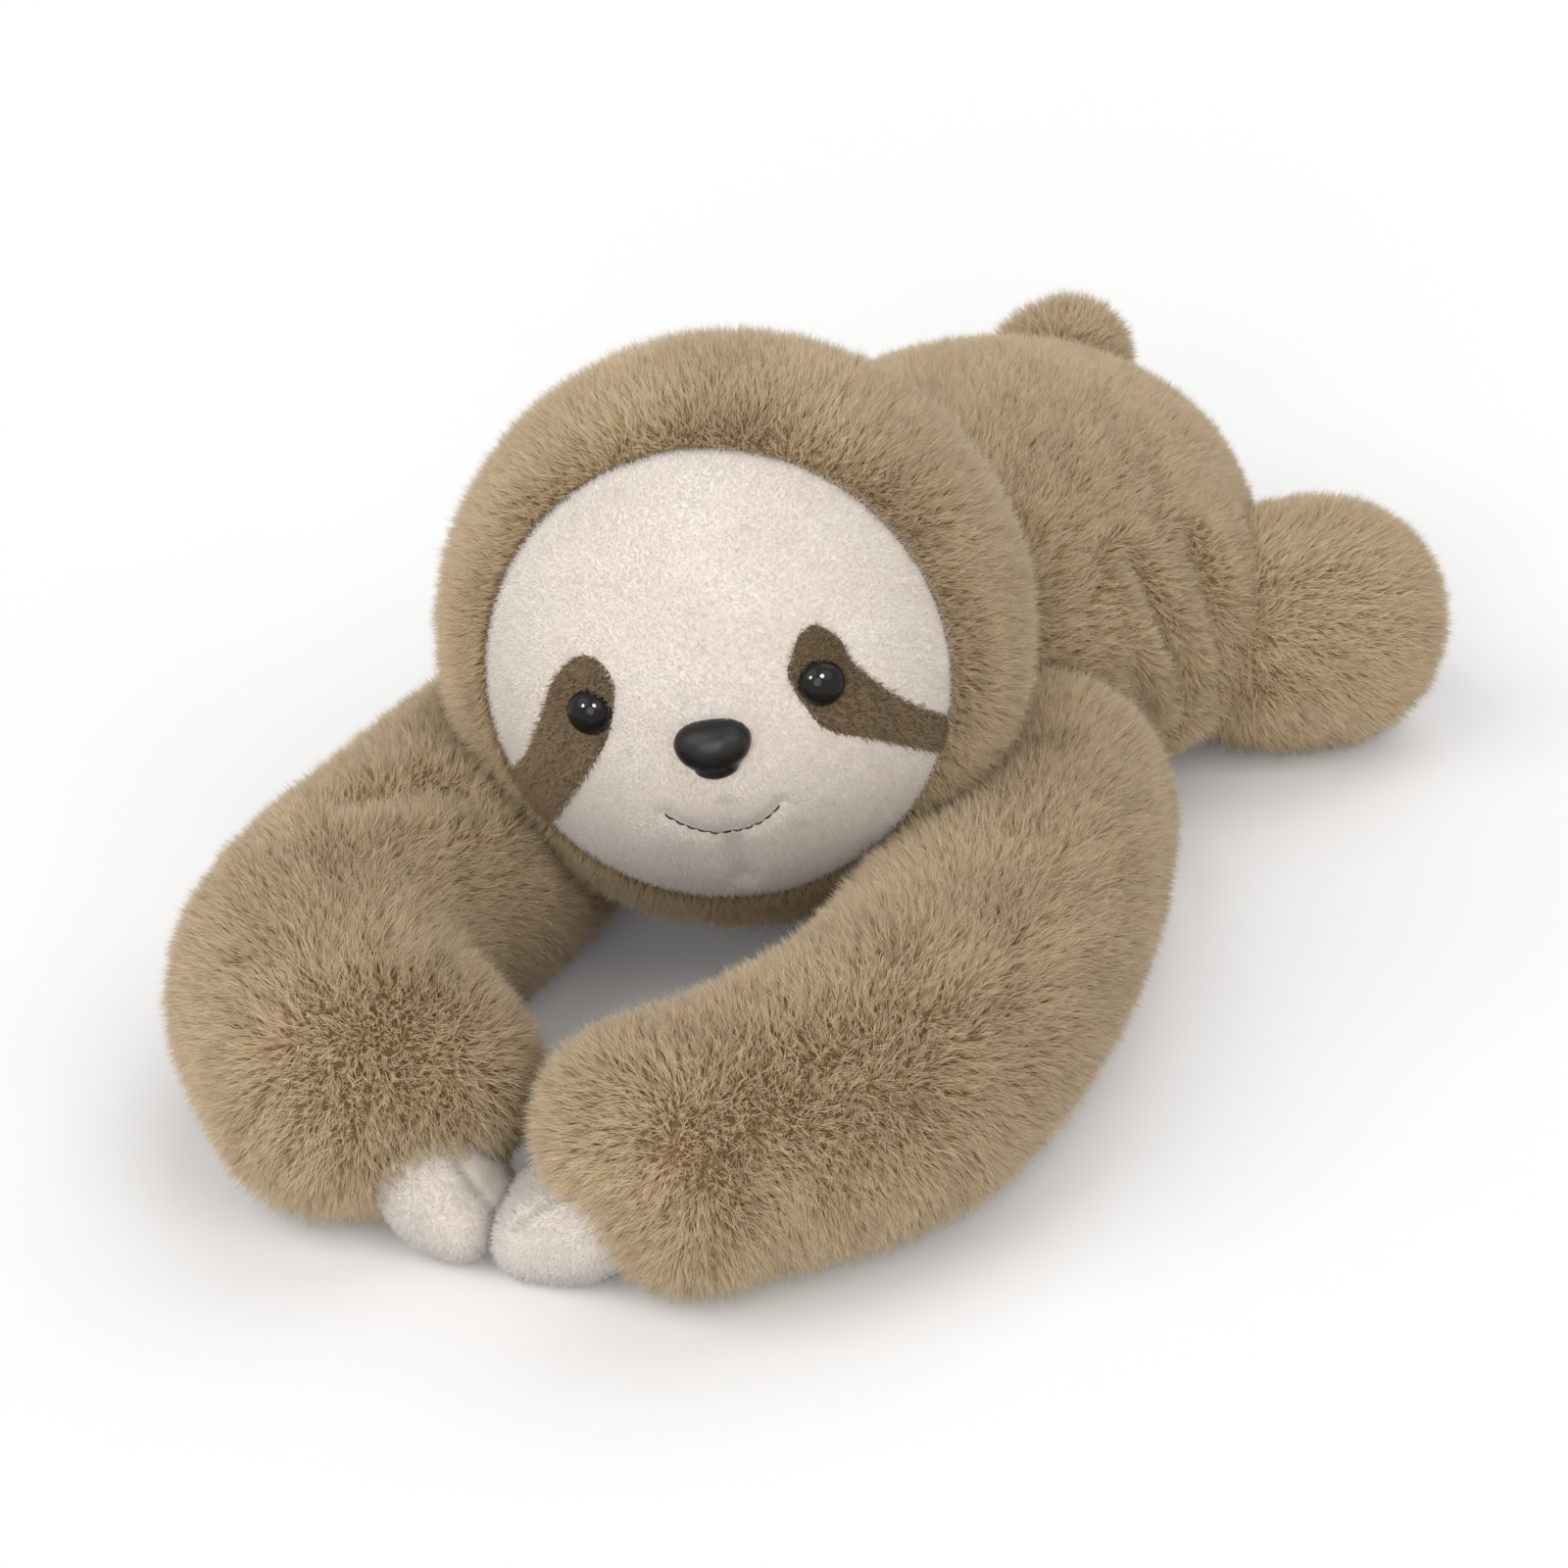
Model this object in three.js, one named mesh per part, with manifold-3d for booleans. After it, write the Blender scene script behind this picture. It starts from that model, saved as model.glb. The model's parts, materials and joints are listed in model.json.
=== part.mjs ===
// Weighted plush sloth, lying on its front with its arms folded round in a hug.
// Millimetres, +Z up. It faces -Y, +X is its own left, and the origin is where its belly rests on the ground.
// Each furry cover is drawn at the base of its pile, which stands about 6 mm further out.

import * as THREE from "three";
import { mergeVertices } from "three/addons/utils/BufferGeometryUtils.js";
import Module from "manifold-3d";

// Cloth and clearances
const clothWall = 3; // knitted backing with the matted base of its pile
const faceWall = 2.5; // short-pile cloth of the face
const patchWall = 1.2; // cloth of an eye patch
const seamGap = 0.3; // between pieces that are sewn or packed together
const seatGap = 0.6; // between a limb's root and the dish that it sits in
const pressGap = 4; // between an arm and the head that leans on it
const rootOpening = 5; // radius left where a limb's cover is drawn in and sewn to the torso
const floorCut = 0.5; // depth of the flat under what lies on the ground

// Torso
const torsoLength = 272;
const torsoWidth = 192;
const torsoHeight = 138;
const torsoWaist = 62; // height of the widest line
const torsoSetBack = 5; // its middle, behind the origin
const torsoPear = 0.08; // share by which the rump is wider and the chest narrower
const torsoBluntness = 2.15; // 2 is an ellipse, more is squarer
const bellyBluntness = 5;
const bellyFlatness = 2.8;
const sideSeamHeight = 40;
const beadPouchWidth = 112;
const beadPouchLength = 190;
const beadPouchHeight = 30;

// Head, a round form about the line from the neck to the face
const headRadius = 94.5;
const headFront = 84; // from the middle to the face
const headBack = 86; // from the middle to the neck
const headAhead = 185;
const headAside = -9;
const headHeight = 122.5;
const headTurn = 18.5; // degrees towards its own left
const headLift = 7.5;
const headTilt = 10.3;
const faceRadius = 78;

// Face
const eyeSpread = 37; // from the middle line
const eyeRise = 2.6;
const eyeRadius = 7;
const eyeDome = 5.5;
const eyeRim = 0.8;
const shankRadius = 2.2;
const washerRadius = 8;
const washerThickness = 2;
const shankTail = 2; // shank that shows behind its washer
const noseDrop = 10.5; // middle of the nose's upper lobe, below the middle of the face
const noseWidth = 24.5;
const noseHeight = 15;
const noseDepth = 8;
const noseTipWidth = 14;
const noseTipHeight = 12;
const noseTipDrop = 6.5; // lower lobe, below the upper one
const mouthWidth = 38;
const mouthDrop = 44.5; // lowest point of the smile
const mouthRise = 9; // from there to its corners
const threadRadius = 0.7;

// Arms, each given by its shoulder, elbow, forearm and wrist as it lies
const leftLie = {
  shoulder: 80,
  girth: 44,
  elbowOut: 17,
  elbowAhead: 104,
  forearmOut: 14,
  forearmAhead: 190,
  wristAhead: 365,
  wristSetOut: 48,
  wristRadius: 38,
  innerClaw: { rootOut: 34, rootAhead: 358, tipAhead: 359 },
  outerClaw: { rootOut: 41, rootAhead: 377, tipAhead: 384 },
};
const rightLie = {
  shoulder: 86,
  girth: 46,
  elbowOut: 3,
  elbowAhead: 118,
  forearmOut: -1,
  forearmAhead: 216,
  wristAhead: 370,
  wristSetOut: 56,
  wristRadius: 42,
  innerClaw: { rootOut: 31, rootAhead: 364, tipAhead: 366 },
  outerClaw: { rootOut: 39, rootAhead: 385, tipAhead: 391 },
};
const shoulderAhead = 115;
const shoulderRadius = 42;
const pawMeet = 4; // plane where the two paws meet
const pawGap = 1.6;
const pawBluntness = 0.65; // depth of a paw's round end, as a share of its radius
const clawRadius = 14;
const clawTipRadius = 11.5;
const clawHeight = 29; // middle of a claw where it leaves the paw
const outerClawSetOut = 3; // from the inner claw's tip
const armSwing = 30; // degrees outwards
const armPouchReach = 62; // beads, back from the wrist

// Legs
const legRadius = 45;
const hipRadius = 44;
const legLength = 22; // from the hip to the middle of the round foot
const legSplay = 40; // degrees back from straight out
const hipBack = 46;
const hipStandOff = 14; // pivot outside the torso's side
const legSwing = 15; // degrees each way
const legPouchReach = 6; // beads, in from the middle of the foot

// Tail
const tailRadius = 20;
const tailTipRadius = 18;
const tailLength = 10;
const tailSeat = 0.915; // share of the way from the torso's middle to its rear end
const tailStandOff = 6; // pivot outside the torso's back
const tailAside = -10;
const tailLift = 16; // degrees above level
const slopeStep = 0.01; // share of the torso over which the slope under the tail is taken

const bendEase = 0.22; // share of a limb's path over which a bend is spread

// Facets
const torsoSides = 24;
const torsoStations = 14;
const pouchStations = 8;
const limbSides = 16;
const limbSteps = 12;
const capSteps = 4;
const clawSides = 10;
const clawSteps = 4;
const headSides = 28;
const faceSteps = 6;
const hoodSteps = 10;
const socketSides = 18;
const roundSides = 12;
const domeSteps = 5;
const patchSteps = 22;
const mouthSteps = 8;
const threadSides = 6;
const threadSteps = 16;
const pressPasses = 2;
const weld = 1e-4;
const farOut = 2000; // reach of a cutting block

const wasm = await Module();
wasm.setup();

const radians = THREE.MathUtils.degToRad;
const up = new THREE.Vector3(0, 0, 1);

// Fullness of a rounded form at t, from 1 in its middle to 0 at t = 1 and t = -1
const swell = (t, bluntness) => Math.max(0, 1 - Math.abs(t) ** bluntness) ** (1 / bluntness);

// Solids

// The same surface with shared vertices, no collapsed triangles, and faces that point out
function tidied(geometry) {
  const bare = new THREE.BufferGeometry();
  bare.setAttribute("position", geometry.getAttribute("position").clone());
  bare.setIndex(geometry.index ? geometry.index.clone() : null);
  const welded = mergeVertices(bare, weld);
  const place = welded.getAttribute("position");
  const corners = [0, 1, 2].map(() => new THREE.Vector3());
  const kept = [];
  let volume = 0;
  for (let i = 0; i < welded.index.count; i += 3) {
    const [a, b, c] = [0, 1, 2].map((k) => welded.index.getX(i + k));
    if (a === b || b === c || c === a) continue;
    kept.push(a, b, c);
    [a, b, c].forEach((vertex, k) => corners[k].fromBufferAttribute(place, vertex));
    volume += corners[0].dot(corners[1].cross(corners[2]));
  }
  welded.setIndex(volume > 0 ? kept : kept.reverse());
  return welded;
}

function solid(geometry) {
  const closed = tidied(geometry);
  return new wasm.Manifold(
    new wasm.Mesh({
      numProp: 3,
      vertProperties: new Float32Array(closed.getAttribute("position").array),
      triVerts: new Uint32Array(closed.index.array),
    })
  );
}

function geometryOf(body) {
  const mesh = body.getMesh();
  const geometry = new THREE.BufferGeometry();
  geometry.setAttribute("position", new THREE.BufferAttribute(mesh.vertProperties, 3));
  geometry.setIndex(new THREE.BufferAttribute(mesh.triVerts, 1));
  return geometry;
}

const cut = (body, cutters) => cutters.reduce((rest, cutter) => rest.subtract(solid(cutter)), body);

// Block that fills everything on one side of a plane through a point
function halfSpace(point, outward) {
  const block = new THREE.BoxGeometry(farOut, farOut, farOut);
  block.translate(0, 0, farOut / 2);
  block.applyQuaternion(new THREE.Quaternion().setFromUnitVectors(up, outward.clone().normalize()));
  return block.translate(point.x, point.y, point.z);
}

// Closed surface through rings of points, drawn to a point at each end
function loft(rings, start, end) {
  const sides = rings[0].length;
  const points = [...rings.flat(), start, end];
  const faces = [];
  const last = (rings.length - 1) * sides;
  for (let i = 0; i < sides; i++) {
    const next = (i + 1) % sides;
    for (let row = 0; row < last; row += sides) {
      faces.push(row + i, row + next, row + sides + next);
      faces.push(row + i, row + sides + next, row + sides + i);
    }
    faces.push(next, i, points.length - 2);
    faces.push(last + i, last + next, points.length - 1);
  }
  const geometry = new THREE.BufferGeometry().setFromPoints(points);
  geometry.setIndex(faces);
  return geometry;
}

// Points round a ring, set half a step off so that a flat lies under it
function around(sides, pointAt) {
  return Array.from({ length: sides }, (_, i) => pointAt(((i + 0.5) * 2 * Math.PI) / sides));
}

// Torso form

const torsoHalfWidth = (t) => (torsoWidth / 2) * swell(t, torsoBluntness) * (1 + torsoPear * t);

function torsoForm(inset) {
  const half = torsoLength / 2 - inset;
  const rings = [];
  for (let k = 1; k < torsoStations; k++) {
    const t = -Math.cos((Math.PI * k) / torsoStations);
    const width = torsoHalfWidth(t) - inset * swell(t, torsoBluntness);
    const rise = (torsoHeight - torsoWaist - inset) * swell(t, torsoBluntness);
    const sag = (torsoWaist + floorCut - inset) * swell(t, bellyBluntness);
    rings.push(
      around(torsoSides, (angle) => {
        const across = Math.cos(angle);
        const upward = Math.sin(angle);
        const power = upward < 0 ? 2 / bellyFlatness : 1;
        const x = width * Math.sign(across) * Math.abs(across) ** power;
        const z = torsoWaist + (upward < 0 ? -sag : rise) * Math.abs(upward) ** power;
        return new THREE.Vector3(x, torsoSetBack + half * t, Math.max(z, inset));
      })
    );
  }
  const end = (sign) => new THREE.Vector3(0, torsoSetBack + sign * half, torsoWaist);
  return loft(rings, end(-1), end(1));
}

// Pillow of beads on the belly's cloth
function bellyPouchForm(grow) {
  const low = clothWall + seamGap;
  const middle = (beadPouchHeight + low) / 2;
  const rings = [];
  for (let k = 1; k < pouchStations; k++) {
    const t = -Math.cos((Math.PI * k) / pouchStations);
    const full = swell(t, torsoBluntness);
    rings.push(
      around(limbSides, (angle) => {
        const x = (beadPouchWidth / 2 + grow) * full * Math.cos(angle);
        const z = middle + ((beadPouchHeight - low) / 2 + grow) * full * Math.sin(angle);
        return new THREE.Vector3(x, (beadPouchLength / 2 + grow) * t, z);
      })
    );
  }
  const end = (sign) => new THREE.Vector3(0, sign * (beadPouchLength / 2 + grow), middle);
  return loft(rings, end(-1), end(1));
}

// Head form, turned about the line from neck to face, with the face on -Y of its own frame

const headFrame = new THREE.Group();
headFrame.position.set(headAside, -headAhead, headHeight);
headFrame.rotation.set(radians(-headLift), radians(-headTilt), radians(headTurn), "ZXY");
headFrame.updateMatrixWorld(true);
const headInverse = headFrame.matrixWorld.clone().invert();

// Point of the head's profile: 0 is the middle of the face, half a turn is the neck
function headProfile(angle, inset) {
  const depth = angle < Math.PI / 2 ? headFront : headBack;
  return new THREE.Vector2((headRadius - inset) * Math.sin(angle), -(depth - inset) * Math.cos(angle));
}

function headArc(from, to, inset, steps) {
  return Array.from({ length: steps + 1 }, (_, k) => headProfile(from + ((to - from) * k) / steps, inset));
}

const faceEdge = Math.asin(faceRadius / headRadius);

function headForm(inset) {
  const profile = [
    ...headArc(0, faceEdge, inset, faceSteps),
    ...headArc(faceEdge, Math.PI, inset, hoodSteps).slice(1),
  ];
  profile[0].x = 0;
  profile.at(-1).x = 0;
  return new THREE.LatheGeometry(profile, headSides);
}

// Moves a point that lies inside the head out to its surface
function clearOfHead(point, clearance) {
  const own = point.clone().applyMatrix4(headInverse);
  const depth = (own.y < 0 ? headFront : headBack) + clearance;
  const size = new THREE.Vector3(headRadius + clearance, depth, headRadius + clearance);
  const share = own.clone().divide(size).length();
  return share < 1 ? own.divideScalar(share).applyMatrix4(headFrame.matrixWorld) : point;
}

// Limb forms: a round root about its pivot, a swelling middle and a round end

function limbPoint(limb, u) {
  return new THREE.CatmullRomCurve3(limb.path).getPoint(u);
}

// Direction of a limb, taken over a stretch of it so that the inside of a bend stays smooth
function limbDirection(limb, u) {
  const ahead = limbPoint(limb, Math.min(1, u + bendEase));
  return ahead.sub(limbPoint(limb, Math.max(0, u - bendEase))).normalize();
}

function limbRadius(limb, u) {
  const place = u * (limb.radii.length - 1);
  const k = Math.min(Math.floor(place), limb.radii.length - 2);
  return THREE.MathUtils.lerp(limb.radii[k], limb.radii[k + 1], THREE.MathUtils.smoothstep(place - k, 0, 1));
}

const swung = (point, limb, degrees) =>
  point.clone().sub(limb.path[0]).applyAxisAngle(limb.axis, radians(degrees)).add(limb.path[0]);

// A point of a limb, lifted to the ground and pressed clear of the head all through its swing
function settled(point, limb, inset) {
  let moved = point.setZ(Math.max(point.z, inset));
  for (let pass = 0; pass < pressPasses; pass++) {
    for (const degrees of limb.besideHead) {
      const pressed = clearOfHead(swung(moved, limb, degrees), pressGap + inset);
      moved = swung(pressed, limb, -degrees);
    }
  }
  return moved;
}

function limbRing(limb, centre, along, radius, inset) {
  const side = new THREE.Vector3().crossVectors(along, up).normalize();
  const top = new THREE.Vector3().crossVectors(side, along).normalize();
  return around(limb.sides, (angle) => {
    const point = centre.clone().addScaledVector(side, radius * Math.cos(angle));
    return settled(point.addScaledVector(top, radius * Math.sin(angle)), limb, inset);
  });
}

// Rings from the root to the end, and the points that close them
function limbRings(limb, inset) {
  const rings = [];
  const rootReach = limb.radii[0] - inset;
  const endReach = limb.radii.at(-1) * limb.endShare - inset;
  const addRing = (u, off, share) => {
    const along = limbDirection(limb, u);
    const centre = limbPoint(limb, u).addScaledVector(along, off);
    rings.push(limbRing(limb, centre, along, share * (limbRadius(limb, u) - inset), inset));
  };
  const drawnIn = rootOpening / limb.radii[0];
  addRing(0, -rootReach * Math.cos(drawnIn), Math.sin(drawnIn));
  for (let k = 1; k < capSteps; k++) {
    const angle = (k / capSteps) * (Math.PI / 2);
    addRing(0, -rootReach * Math.cos(angle), Math.sin(angle));
  }
  for (let k = 0; k <= limb.steps; k++) addRing(k / limb.steps, 0, 1);
  for (let k = capSteps - 1; k > 0; k--) {
    const angle = (k / capSteps) * (Math.PI / 2);
    addRing(1, endReach * Math.cos(angle), Math.sin(angle));
  }
  const pole = (u, reach) =>
    settled(limbPoint(limb, u).addScaledVector(limbDirection(limb, u), reach), limb, inset);
  return { rings, root: pole(0, -rootReach), end: pole(1, endReach) };
}

function limbForm(limb, inset) {
  const { rings, root, end } = limbRings(limb, inset);
  return loft(rings, root, end);
}

// Bag that is open at its root, where it is drawn together and sewn to the torso
function limbCover(limb) {
  const outer = limbRings(limb, 0);
  const inner = limbRings(limb, clothWall);
  return loft([...outer.rings.reverse(), ...inner.rings], outer.end, inner.end);
}

// Room that the torso leaves: a ball about a limb's pivot, and the limb itself where it swings in
function sockets(limb) {
  const pivot = limb.path[0];
  const reach = (limb.radii[0] + seatGap) / Math.cos(Math.PI / socketSides);
  const ball = new THREE.SphereGeometry(reach, socketSides, socketSides / 2);
  const swungIn = limb.swingsIn.map((degrees) => {
    const form = limbForm(limb, -seatGap).translate(-pivot.x, -pivot.y, -pivot.z);
    return form.applyQuaternion(new THREE.Quaternion().setFromAxisAngle(limb.axis, radians(degrees)));
  });
  return [ball, ...swungIn].map((form) => form.translate(pivot.x, pivot.y, pivot.z));
}

// Limbs as they lie: side is 1 for the sloth's own left and -1 for its right

function arm(side, lie) {
  const from = new THREE.Vector3(side * lie.shoulder, -shoulderAhead, lie.girth - floorCut);
  const beyond = (out, ahead) => new THREE.Vector3(side * out, -ahead, 0).add(from);
  const elbow = beyond(lie.elbowOut, lie.elbowAhead);
  const forearm = beyond(lie.forearmOut, lie.forearmAhead);
  const wristOut = pawMeet + side * lie.wristSetOut;
  const wrist = new THREE.Vector3(wristOut, -lie.wristAhead, lie.wristRadius - floorCut);
  return {
    path: [from, elbow, forearm, wrist],
    radii: [shoulderRadius, lie.girth, lie.girth, lie.wristRadius],
    endShare: pawBluntness,
    axis: new THREE.Vector3(0, 0, side),
    besideHead: [0, armSwing / 3, (2 * armSwing) / 3, armSwing],
    swingsIn: [],
    sides: limbSides,
    steps: limbSteps,
    side,
  };
}

function leg(side) {
  const back = (hipBack - torsoSetBack) / (torsoLength / 2);
  const hip = new THREE.Vector3(side * (torsoHalfWidth(back) + hipStandOff), hipBack, legRadius - floorCut);
  const outward = new THREE.Vector3(side * Math.cos(radians(legSplay)), Math.sin(radians(legSplay)), 0);
  return {
    path: [hip, hip.clone().addScaledVector(outward, legLength)],
    radii: [hipRadius, legRadius],
    endShare: 1,
    axis: new THREE.Vector3(0, 0, side),
    besideHead: [],
    swingsIn: [legSwing],
    sides: limbSides,
    steps: 1,
    outward,
  };
}

// Point of the torso's back on its middle line
function backLine(t) {
  const rise = (torsoHeight - torsoWaist) * swell(t, torsoBluntness);
  return new THREE.Vector3(0, torsoSetBack + (torsoLength / 2) * t, torsoWaist + rise);
}

function tailLimb() {
  const seat = backLine(tailSeat);
  const slope = backLine(tailSeat + slopeStep).sub(seat).normalize();
  const outward = new THREE.Vector3(1, 0, 0).cross(slope);
  const root = seat.addScaledVector(outward, tailStandOff).setX(tailAside);
  const along = new THREE.Vector3(0, Math.cos(radians(tailLift)), Math.sin(radians(tailLift)));
  return {
    path: [root, root.clone().addScaledVector(along, tailLength)],
    radii: [tailRadius, tailTipRadius],
    endShare: 1,
    besideHead: [],
    swingsIn: [],
    sides: limbSides,
    steps: 1,
  };
}

const leftArm = arm(1, leftLie);
const rightArm = arm(-1, rightLie);
const leftLeg = leg(1);
const rightLeg = leg(-1);
const tail = tailLimb();

// A claw, from inside the paw to its tip beside the meeting plane
function claw(limb, lies, setOut) {
  const spot = (out, ahead, height) => new THREE.Vector3(pawMeet + limb.side * out, -ahead, height);
  const root = spot(lies.rootOut, lies.rootAhead, clawHeight);
  const tip = spot(pawGap / 2 + clawTipRadius + setOut, lies.tipAhead, clawTipRadius);
  const middle = root.clone().lerp(tip, 0.5).setZ(clawRadius + floorCut);
  return {
    path: [root, middle, tip],
    radii: [clawRadius, clawRadius, clawTipRadius],
    endShare: 1,
    besideHead: [],
    sides: clawSides,
    steps: clawSteps,
  };
}

// What shows of a claw outside the paw and the claw that it is sewn to
const shownClaw = (form, others) =>
  geometryOf(cut(solid(limbForm(form, 0)), others.map((other) => limbForm(other, -seamGap))));

// Finishes

const finish = (color, roughness) => new THREE.MeshStandardMaterial({ color, roughness, metalness: 0 });
const fur = () => finish(0xa38d6e, 0.95);
const creamPile = () => finish(0xf0e6da, 0.95);
const patchPile = () => finish(0x6b5a46, 0.95);
const wadding = () => finish(0xf2f0ea, 1);
const cotton = () => finish(0xd8d2c4, 0.9);
const blackGloss = () => finish(0x0b0a09, 0.12);
const blackSatin = () => finish(0x0e0c0b, 0.35);
const whitePlastic = () => finish(0xe9e8e4, 0.5);
const darkThread = () => finish(0x2b221c, 0.7);

const sloth = new THREE.Group();

function add(parent, name, geometry, material) {
  const shown = tidied(geometry);
  shown.computeVertexNormals();
  const mesh = new THREE.Mesh(shown, material);
  mesh.name = name;
  parent.add(mesh);
  return mesh;
}

// Torso: two panels that meet at the side seam, wadding, and a pouch of beads in the belly

const headDish = headForm(-seatGap).applyMatrix4(headFrame.matrixWorld);
const dishes = [headDish, ...[leftArm, rightArm, leftLeg, rightLeg, tail].flatMap(sockets)];
const torsoShell = solid(torsoForm(0)).subtract(solid(torsoForm(clothWall)));
const seamPoint = (offset) => new THREE.Vector3(0, 0, sideSeamHeight + offset);
const down = up.clone().negate();
const backPanel = cut(torsoShell, [halfSpace(seamPoint(seamGap / 2), down), ...dishes]);
const bellyPanel = cut(torsoShell, [halfSpace(seamPoint(-seamGap / 2), up), ...dishes]);
const torsoWadding = cut(solid(torsoForm(clothWall + seamGap)), [bellyPouchForm(seamGap), ...dishes]);
add(sloth, "body_back_panel", geometryOf(backPanel), fur());
add(sloth, "body_belly_panel", geometryOf(bellyPanel), fur());
add(sloth, "body_stuffing", geometryOf(torsoWadding), wadding());
add(sloth, "body_bead_pouch", bellyPouchForm(0), cotton());

// Head: hood, face and wadding share one profile

const halfSeam = seamGap / 2 / headRadius;
const hoodProfile = [
  ...headArc(Math.PI, faceEdge + halfSeam, 0, hoodSteps),
  ...headArc(faceEdge + halfSeam, Math.PI, clothWall, hoodSteps),
];
const faceProfile = [
  ...headArc(0, faceEdge - halfSeam, 0, faceSteps),
  ...headArc(faceEdge - halfSeam, 0, faceWall, faceSteps),
];

sloth.add(headFrame);

// Frame on the face at a place across and up from its middle, with +Y out of the face and +Z down it
function faceSpot(x, z, lift) {
  const y = -headFront * Math.sqrt(1 - (x * x + z * z) / headRadius ** 2);
  const outward = new THREE.Vector3(x / headRadius ** 2, y / headFront ** 2, z / headRadius ** 2).normalize();
  const across = new THREE.Vector3(1, 0, 0).addScaledVector(outward, -outward.x).normalize();
  const spot = new THREE.Matrix4().makeBasis(across, outward, across.clone().cross(outward));
  return spot.setPosition(new THREE.Vector3(x, y, z).addScaledVector(outward, lift));
}

const profileOf = (corners) => corners.map(([radius, height]) => new THREE.Vector2(radius, height));
const rod = (radius, from, to) =>
  new THREE.LatheGeometry(profileOf([[0, from], [radius, from], [radius, to], [0, to]]), roundSides);

// How far a flat disc of this radius stands off the curved face at its rim
const rimLift = (radius) => radius ** 2 / (2 * headFront);

const washerTop = -(faceWall + seamGap + rimLift(washerRadius));
const shankReach = washerTop - washerThickness - shankTail;
const boreRadius = shankRadius + seamGap;

// Space inside the wadding for a washer and the shank that it locks
function washerPocket(x, z) {
  const wide = rod(washerRadius + seamGap, washerTop - washerThickness - seamGap, 0);
  const narrow = rod(boreRadius, shankReach - seamGap, 0);
  return [wide, narrow].map((hole) => hole.applyMatrix4(faceSpot(x, z, 0)));
}

const shankHole = (x, z) => rod(boreRadius, shankReach, eyeDome).applyMatrix4(faceSpot(x, z, 0));

const fixings = [
  [-eyeSpread, eyeRise],
  [eyeSpread, eyeRise],
  [0, -noseDrop],
];
const headWadding = cut(
  solid(headForm(clothWall + seamGap)),
  fixings.flatMap(([x, z]) => washerPocket(x, z))
);
const face = cut(
  solid(new THREE.LatheGeometry(faceProfile, headSides)),
  fixings.map(([x, z]) => shankHole(x, z))
);
add(headFrame, "head_hood", new THREE.LatheGeometry(hoodProfile, headSides), fur());
add(headFrame, "face_panel", geometryOf(face), creamPile());
add(headFrame, "head_stuffing", geometryOf(headWadding), wadding());

function addLockWasher(name, x, z) {
  const ring = profileOf([
    [boreRadius, washerTop],
    [washerRadius, washerTop],
    [washerRadius, washerTop - washerThickness],
    [boreRadius, washerTop - washerThickness],
    [boreRadius, washerTop],
  ]);
  const washer = add(headFrame, name, new THREE.LatheGeometry(ring, roundSides), whitePlastic());
  faceSpot(x, z, 0).decompose(washer.position, washer.quaternion, washer.scale);
}

// Outline of the patch on the sloth's left, across and up from the middle of the face
const patchOutline = [
  [38, 20.5],
  [28, 12],
  [29.5, -4],
  [43, -21],
  [66, -39],
  [78, -28],
  [60, -7],
  [49, 12],
];

// Patch that lies on the face from above the eye out to the hood's seam
function eyePatch(side) {
  const corners = patchOutline.map(([x, z]) => new THREE.Vector3(side * x, z, 0));
  const edge = new THREE.CatmullRomCurve3(corners, true).getPoints(patchSteps);
  const shape = new THREE.Shape(edge.slice(0, -1).map((p) => new THREE.Vector2(p.x, p.y)));
  const prism = new THREE.ExtrudeGeometry(shape, { depth: headFront * 2, bevelEnabled: false });
  prism.rotateX(Math.PI / 2);
  const sheet = solid(headForm(-seamGap - patchWall)).subtract(solid(headForm(-seamGap)));
  const disc = rod(faceRadius - seamGap, -headFront * 2, 0);
  const patch = sheet.intersect(solid(prism)).intersect(solid(disc));
  return geometryOf(cut(patch, [shankHole(side * eyeSpread, eyeRise)]));
}

// Safety eye: a glossy dome with a shank that goes through the face to its washer
function eyeProfile(base) {
  const dome = Array.from({ length: domeSteps + 1 }, (_, k) => {
    const angle = (k / domeSteps) * (Math.PI / 2);
    return [eyeRadius * Math.cos(angle), eyeRim + (eyeDome - eyeRim) * Math.sin(angle)];
  });
  dome[domeSteps][0] = 0;
  const tip = shankReach - base;
  return profileOf([[0, tip], [shankRadius, tip], [shankRadius, 0], [eyeRadius, 0], ...dome]);
}

for (const [name, side] of [["left", 1], ["right", -1]]) {
  const base = 2 * seamGap + patchWall;
  add(headFrame, `eye_patch_${name}`, eyePatch(side), patchPile());
  const eye = add(headFrame, `eye_${name}`, new THREE.LatheGeometry(eyeProfile(base), roundSides), blackGloss());
  faceSpot(side * eyeSpread, eyeRise, base).decompose(eye.position, eye.quaternion, eye.scale);
  addLockWasher(`eye_washer_${name}`, side * eyeSpread, eyeRise);
}

// Nose: a wide lobe over a small one, domed, with a shank like the eyes'
function noseForm() {
  const lobe = (width, height, drop) => {
    const ball = new THREE.SphereGeometry(1, roundSides, roundSides / 2);
    return solid(ball.scale(width / 2, noseDepth, height / 2).translate(0, 0, drop));
  };
  const lobes = lobe(noseWidth, noseHeight, 0).add(lobe(noseTipWidth, noseTipHeight, noseTipDrop));
  const dome = cut(lobes, [halfSpace(new THREE.Vector3(), new THREE.Vector3(0, -1, 0))]);
  return geometryOf(dome.add(solid(rod(shankRadius, shankReach - seamGap, 1))));
}

const nose = add(headFrame, "nose", noseForm(), blackSatin());
faceSpot(0, -noseDrop, seamGap).decompose(nose.position, nose.quaternion, nose.scale);
addLockWasher("nose_washer", 0, -noseDrop);

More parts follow.
